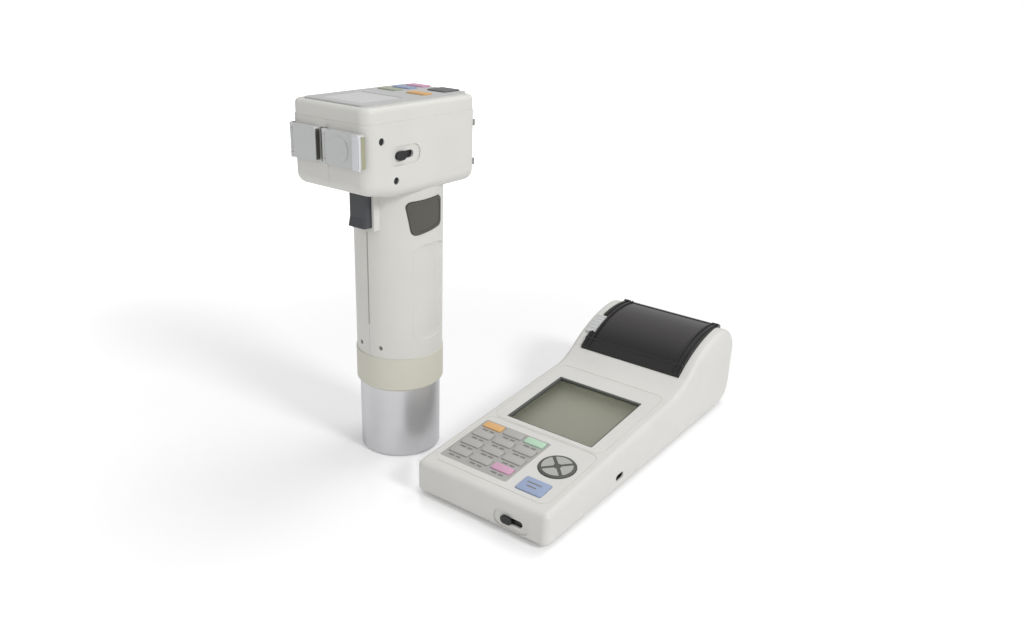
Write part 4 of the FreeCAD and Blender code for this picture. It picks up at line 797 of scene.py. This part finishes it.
@dataclass
class MeasuringHead:
    """Grip, head box, tube and flaps of the measuring head.

    Sizes are in millimetres, and places count from the foot of the tube's axis.

    Args:
        grip_radius: Radius of the grip.
        front: Front face of the head box.
        flap_foot: Height of the flaps' lower ends.
        flap_height: Length of the flaps.
        slot: Left and right side of the painted shade that fills the slot between the flaps.
        slot_proud: How far it stands out of the head box.
        slot_sunk: How far it reaches in.
        slot_inset: How far it stops short of the flaps' ends.
        slot_round: Rounding of its edges.
        lip: Left and right side of the lip, whose paler skin is painted light on its lit face.
        lip_front: Front face of the flap under the lip.
        lip_depth: Reach of the lip behind that face.
        lip_round: Rounding of its edges.
        lip_skin: How far it lies outside the flap.
        edge: Front and back of the painted shade on the end of the right flap.
        edge_inset: How far it stops short of the flap's ends.
        side: Front and back of the painted shade on the end of the left flap.
        side_end: Right end of the left flap.
        side_inset: How far that painted shade stops short of the flap's ends.
        end_depth: How far both ends reach into their flaps.
        end_skin: How far they lie outside.
        ear_centres: Middle of the ears of the left and the right flap.
        ear_radius: Radius of the ears.
        ear_height: Height of each ear.
        ear_back: Face that the ears stand on.
        ear_overlap: How far their skins reach into it.
        ear_skin: How far the skins lie outside the ears.
        ear_facets: Sides of their round parts.
        seam: Lower and upper end of the grip's front seam.
        seam_half: Half of its width.
        seam_skin: How far it lies outside the grip.
        seam_sunk: How far it reaches in.
        screw_across: Distance of the two grip screws from the seam.
        screw_height: Height of both.
        screw_radius: Radius of their heads.
        screw_reach: Depth of the heads' inner and outer faces in the grip.
        screw_facets: Sides of the heads.
        screw_round: Rounding of their edges.
        centre: Foot of the tube's axis on the bench, in metres.
    """

    grip_radius: float = 28.6
    front: float = -58.0
    flap_foot: float = 205.5
    flap_height: float = 20.0
    slot: tuple[float, float] = (-5.4, -2.1)
    slot_proud: float = 0.25
    slot_sunk: float = 0.9
    slot_inset: float = 0.6
    slot_round: float = 0.2
    lip: tuple[float, float] = (25.0, 30.6)
    lip_front: float = -63.7
    lip_depth: float = 1.6
    lip_round: float = 0.7
    lip_skin: float = 0.05
    edge: tuple[float, float] = (-61.7, -58.5)
    edge_inset: float = 1.0
    side: tuple[float, float] = (-61.5, -58.7)
    side_end: float = -6.0
    side_inset: float = 1.2
    end_depth: float = 0.5
    end_skin: float = 0.12
    ear_centres: tuple[float, float] = (-26.8, 0.2)
    ear_radius: float = 1.7
    ear_height: float = 2.9
    ear_back: float = -58.3
    ear_overlap: float = 0.4
    ear_skin: float = 0.08
    ear_facets: int = 32
    seam: tuple[float, float] = (96.0, 158.0)
    seam_half: float = 0.45
    seam_skin: float = 0.05
    seam_sunk: float = 0.5
    screw_across: float = 8.4
    screw_height: float = 80.6
    screw_radius: float = 1.5
    screw_reach: tuple[float, float] = (2.0, 0.35)
    screw_facets: int = 24
    screw_round: float = 0.3
    centre: Vector = field(default_factory=lambda: bench_centre("measuring_tube"))

    def build(self) -> None:
        """Dress the solids and add the small parts of the look."""
        self.dress()
        self.flap_parts()
        self.ear_skins()
        self.grip_parts()

    def finish_shape(self, name: str, shape: bmesh.types.BMesh, finish: Finish, body: str) -> None:
        """Move a shape drawn round the head's axis to its place and add it as a piece."""
        bmesh.ops.translate(shape, verts=shape.verts, vec=self.centre)
        add_piece(name, shape, finish, body)

    def block_piece(self, name: str, low: tuple[float, float, float],
                    high: tuple[float, float, float], finish: Finish, body: str,
                    bevel: float = 0.0, segments: int = 3) -> None:
        """Add a piece that is one block.

        Args:
            name: Name of the piece.
            low: Lowest corner.
            high: Highest corner.
            finish: Its finish.
            body: Body that it rides on.
            bevel: Radius of its edges.
            segments: Facets of each rounding.
        """
        shape = bmesh.new()
        add_block(shape, Vector(low) * MM, Vector(high) * MM, bevel * MM, segments)
        self.finish_shape(name, shape, finish, body)

    def flap_parts(self) -> None:
        """Add the painted shade in the slot between the flaps, the painted light on the lip and the
        painted shade on the flaps' ends.
        """
        foot = self.flap_foot
        top = foot + self.flap_height
        # Painted shade in the gap between the flaps.
        self.block_piece(
            "flap_slot_shade", (self.slot[0], self.front - self.slot_proud, foot + self.slot_inset),
            (self.slot[1], self.front + self.slot_sunk, top - self.slot_inset),
            Finishes.SLOT_SHADE, "measuring_head", self.slot_round, 2)
        # Paler skin on the right flap's lip: painted light.
        self.block_piece(
            "flap_lip_highlight", (self.lip[0], self.lip_front - self.lip_skin, foot - self.lip_skin),
            (self.lip[1] + self.lip_skin, self.lip_front + self.lip_depth, top + self.lip_skin),
            Finishes.FLAP_LIP_LIGHT, "socket_cover_right", bevel=self.lip_round, segments=4)
        # Painted shade on the right flap's end face.
        self.block_piece(
            "flap_edge_shade", (self.lip[1] - self.end_depth, self.edge[0], foot + self.edge_inset),
            (self.lip[1] + self.end_skin, self.edge[1], top - self.edge_inset),
            Finishes.RECESS_SHADE, "socket_cover_right")
        # Painted shade on the left flap's end, beside the gap.
        self.block_piece(
            "flap_side_shade", (self.side_end - self.end_depth, self.side[0], foot + self.side_inset),
            (self.side_end + self.end_skin, self.side[1], top - self.side_inset),
            Finishes.SLOT_SHADE, "socket_cover_left")

    def ear_skins(self) -> None:
        """Cover the ears that carry the flaps with the flaps' own grey."""
        shape = bmesh.new()
        around = self.ear_radius + self.ear_skin
        middle = self.ear_back - self.ear_radius
        last = self.flap_foot + self.flap_height - self.ear_height
        for across in self.ear_centres:
            for foot in (self.flap_foot, last):
                low = foot - self.ear_skin
                high = foot + self.ear_height + self.ear_skin
                add_rod(shape, around * MM, Vector((across, middle, low)) * MM,
                        Vector((across, middle, high)) * MM, self.ear_facets)
                add_block(shape, Vector((across - around, middle, low)) * MM,
                          Vector((across + around, self.ear_back + self.ear_overlap, high)) * MM)
        self.finish_shape("flap_ears", shape, Finishes.FLAP, "measuring_head")

    def grip_parts(self) -> None:
        """Add the painted shade of the front seam's groove and the heads of the two grip screws."""
        # Painted shade along the front seam's groove.
        self.block_piece(
            "grip_seam_shade", (-self.seam_half, -self.grip_radius - self.seam_skin, self.seam[0]),
            (self.seam_half, -self.grip_radius + self.seam_sunk, self.seam[1]),
            Finishes.SEAM_SHADE, "measuring_head")
        shape = bmesh.new()
        face = math.sqrt(self.grip_radius ** 2 - self.screw_across ** 2)
        for x in (-self.screw_across, self.screw_across):
            inner, outer = (Vector((x, reach - face, self.screw_height)) * MM
                            for reach in self.screw_reach)
            add_rod(shape, self.screw_radius * MM, inner, outer, self.screw_facets,
                    self.screw_round * MM)
        self.finish_shape("grip_screw_heads", shape, Finishes.GRIP_SCREW, "measuring_head")

    def dress(self) -> None:
        """Give every solid of the head its finish."""
        dress_solids({
            "head_left_shell": Finishes.HEAD, "head_right_shell": Finishes.HEAD,
            "head_top_cover": Finishes.HEAD, "control_panel": Finishes.PANEL,
            "head_display": Finishes.SCREEN, "head_board": Finishes.BOARD,
            "measuring_tube": Finishes.ALUMINIUM, "tube_collar": Finishes.COLLAR,
            "light_chamber": Finishes.BLACK, "head_screws": Finishes.BLACK,
            "head_bumpers": Finishes.BUMPER, "head_batteries": Finishes.CELL,
            "trigger": Finishes.TRIGGER, "head_switch": Finishes.BLACK,
            "side_button": Finishes.GRIP_PAD, "socket_cover_left": Finishes.FLAP,
            "socket_cover_right": Finishes.FLAP, "head_battery_cover": Finishes.HEAD,
            "head_key_1": Finishes.KEY_ORANGE, "head_key_2": Finishes.KEY_OLIVE,
            "head_key_3": Finishes.KEY_BLUE, "head_key_4": Finishes.KEY_PINK,
            "head_key_5": Finishes.KEY_DARK,
        })


@dataclass
class Studio:
    """Camera, floor and lamps that match the photograph's view.

    Places count from the spot under the middle of the case, in metres unless another unit is said.

    Args:
        deck: Sloped top that gives that spot.
        eye: Place of the camera in millimetres.
        yaw: Degrees that it is turned to the left.
        pitch: Degrees that it looks down.
        roll: Degrees that it leans.
        focal_pixels: Its focal length in pixels of the photograph.
        sensor: Width of its sensor in millimetres.
        clip_end: Longest distance that it sees.
        floor_size: Half of the floor's side.
        floor_colour: Colour of the floor.
        floor_roughness: Roughness of the floor.
        floor_specular: Strength of its reflections.
        floor_near: Radius where it starts to turn white.
        floor_far: Radius where it is all white.
        floor_glow: Share of that white inside the smaller radius.
        ambient: Strength of the light from all sides.
        target: Spot that the lamps point at.
        lamp_table: Name, place, size and power of each lamp.
    """

    deck: Deck
    eye: tuple[float, float, float] = (277.75, -489.96, 316.79)
    yaw: float = 35.46
    pitch: float = 21.94
    roll: float = 2.21
    focal_pixels: float = 889.79
    sensor: float = 36.0
    clip_end: float = 50.0
    floor_size: float = 12.0
    floor_colour: tuple[float, float, float, float] = (0.96, 0.96, 0.965, 1.0)
    floor_roughness: float = 0.22
    floor_specular: float = 0.3
    floor_near: float = 0.15
    floor_far: float = 1.1
    floor_glow: float = 0.1
    ambient: float = 0.5
    target: tuple[float, float, float] = (-0.05, -0.02, 0.08)
    lamp_table: tuple[tuple[str, tuple[float, float, float], float, float], ...] = (
        ("key_lamp", (1.25, -0.17, 1.0), 0.4, 10.1),
        ("fill_lamp", (-0.2, -1.35, 0.8), 1.2, 2.7),
        ("top_lamp", (0.1, 0.7, 1.7), 1.0, 8.6))

    def build(self) -> None:
        """Build the camera, the floor, the backdrop and the lamps."""
        self.camera()
        self.floor()
        self.backdrop()
        self.lamps()

    def camera(self) -> None:
        """Place the camera at the photograph's viewing angle."""
        yaw = math.radians(self.yaw)
        pitch = math.radians(self.pitch)
        roll = math.radians(self.roll)
        ahead = Vector((-math.sin(yaw) * math.cos(pitch), math.cos(yaw) * math.cos(pitch),
                        -math.sin(pitch)))
        right = Vector((math.cos(yaw), math.sin(yaw), 0.0))
        up = right.cross(ahead)
        turned_right = right * math.cos(roll) + up * math.sin(roll)
        turned_up = up * math.cos(roll) - right * math.sin(roll)
        data = bpy.data.cameras.new("photo_camera")
        data.sensor_width = self.sensor
        data.lens = self.focal_pixels / PICTURE_WIDTH * self.sensor
        data.clip_end = self.clip_end
        eye = bpy.data.objects.new("photo_camera", data)
        rotation = Matrix((turned_right, turned_up, -ahead)).transposed().to_4x4()
        spot = self.deck.centre + Vector(self.eye) * MM
        eye.matrix_world = Matrix.Translation(spot) @ rotation
        bpy.context.scene.collection.objects.link(eye)
        bpy.context.scene.camera = eye

    def floor(self) -> None:
        """Lay a pale floor that keeps the set's shadow."""
        shape = bmesh.new()
        bmesh.ops.create_grid(shape, x_segments=1, y_segments=1, size=self.floor_size)
        mesh = ordered_mesh("floor", shape)
        piece = bpy.data.objects.new("floor", mesh)
        bpy.context.scene.collection.objects.link(piece)
        mesh.materials.append(self.floor_material())

    def floor_material(self) -> bpy.types.Material:
        """Build the floor's finish, which turns to the white of the backdrop further out.

        Returns:
            The material.
        """
        material = bpy.data.materials.new("floor_white")
        material.use_nodes = True
        tree = material.node_tree
        shader = tree.nodes["Principled BSDF"]
        shader.inputs["Base Color"].default_value = self.floor_colour
        shader.inputs["Roughness"].default_value = self.floor_roughness
        shader.inputs["Specular IOR Level"].default_value = self.floor_specular
        glow = tree.nodes.new("ShaderNodeEmission")
        glow.inputs["Color"].default_value = WHITE
        path = tree.nodes.new("ShaderNodeLightPath")
        place = tree.nodes.new("ShaderNodeTexCoord")
        reach = tree.nodes.new("ShaderNodeVectorMath")
        reach.operation = "LENGTH"
        fade = tree.nodes.new("ShaderNodeMapRange")
        fade.interpolation_type = "SMOOTHSTEP"
        fade.inputs["From Min"].default_value = self.floor_near
        fade.inputs["From Max"].default_value = self.floor_far
        fade.inputs["To Min"].default_value = self.floor_glow
        share = tree.nodes.new("ShaderNodeMath")
        share.operation = "MULTIPLY"
        both = tree.nodes.new("ShaderNodeAddShader")
        tree.links.new(place.outputs["Object"], reach.inputs[0])
        tree.links.new(reach.outputs["Value"], fade.inputs["Value"])
        tree.links.new(path.outputs["Is Camera Ray"], share.inputs[0])
        tree.links.new(fade.outputs["Result"], share.inputs[1])
        tree.links.new(share.outputs["Value"], glow.inputs["Strength"])
        tree.links.new(shader.outputs["BSDF"], both.inputs[0])
        tree.links.new(glow.outputs["Emission"], both.inputs[1])
        tree.links.new(both.outputs["Shader"], tree.nodes["Material Output"].inputs["Surface"])
        return material

    def backdrop(self) -> None:
        """Surround the set with soft white light and a white background."""
        world = bpy.data.worlds.new("studio")
        bpy.context.scene.world = world
        world.use_nodes = True
        tree = world.node_tree
        back = tree.nodes["Background"]
        path = tree.nodes.new("ShaderNodeLightPath")
        seen = tree.nodes.new("ShaderNodeMath")
        seen.operation = "MAXIMUM"
        tree.links.new(path.outputs["Is Camera Ray"], seen.inputs[0])
        tree.links.new(path.outputs["Is Transmission Ray"], seen.inputs[1])
        level = tree.nodes.new("ShaderNodeMapRange")
        level.inputs["To Min"].default_value = self.ambient
        level.inputs["To Max"].default_value = 1.0
        tree.links.new(seen.outputs["Value"], level.inputs["Value"])
        tree.links.new(level.outputs["Result"], back.inputs["Strength"])
        back.inputs["Color"].default_value = WHITE

    def lamps(self) -> None:
        """Light the set softly from the right and above."""
        target = self.deck.centre + Vector(self.target)
        for name, spot, size, power in self.lamp_table:
            data = bpy.data.lights.new(name, "AREA")
            data.shape = "DISK"
            data.size = size
            data.energy = power
            lamp = bpy.data.objects.new(name, data)
            lamp.location = self.deck.centre + Vector(spot)
            aim = target - lamp.location
            lamp.rotation_euler = aim.to_track_quat("-Z", "Y").to_euler()
            bpy.context.scene.collection.objects.link(lamp)


def main() -> None:
    """Build the set in order and report each piece."""
    logging.basicConfig(level=logging.INFO)
    bpy.context.scene.view_settings.view_transform = "Standard"
    deck = Deck()
    Processor().build()
    Keypad(deck).build()
    CursorPad(deck).build()
    DisplayWindow(deck).build()
    MeasuringHead().build()
    Studio(deck).build()


if __name__ == "__main__":
    main()
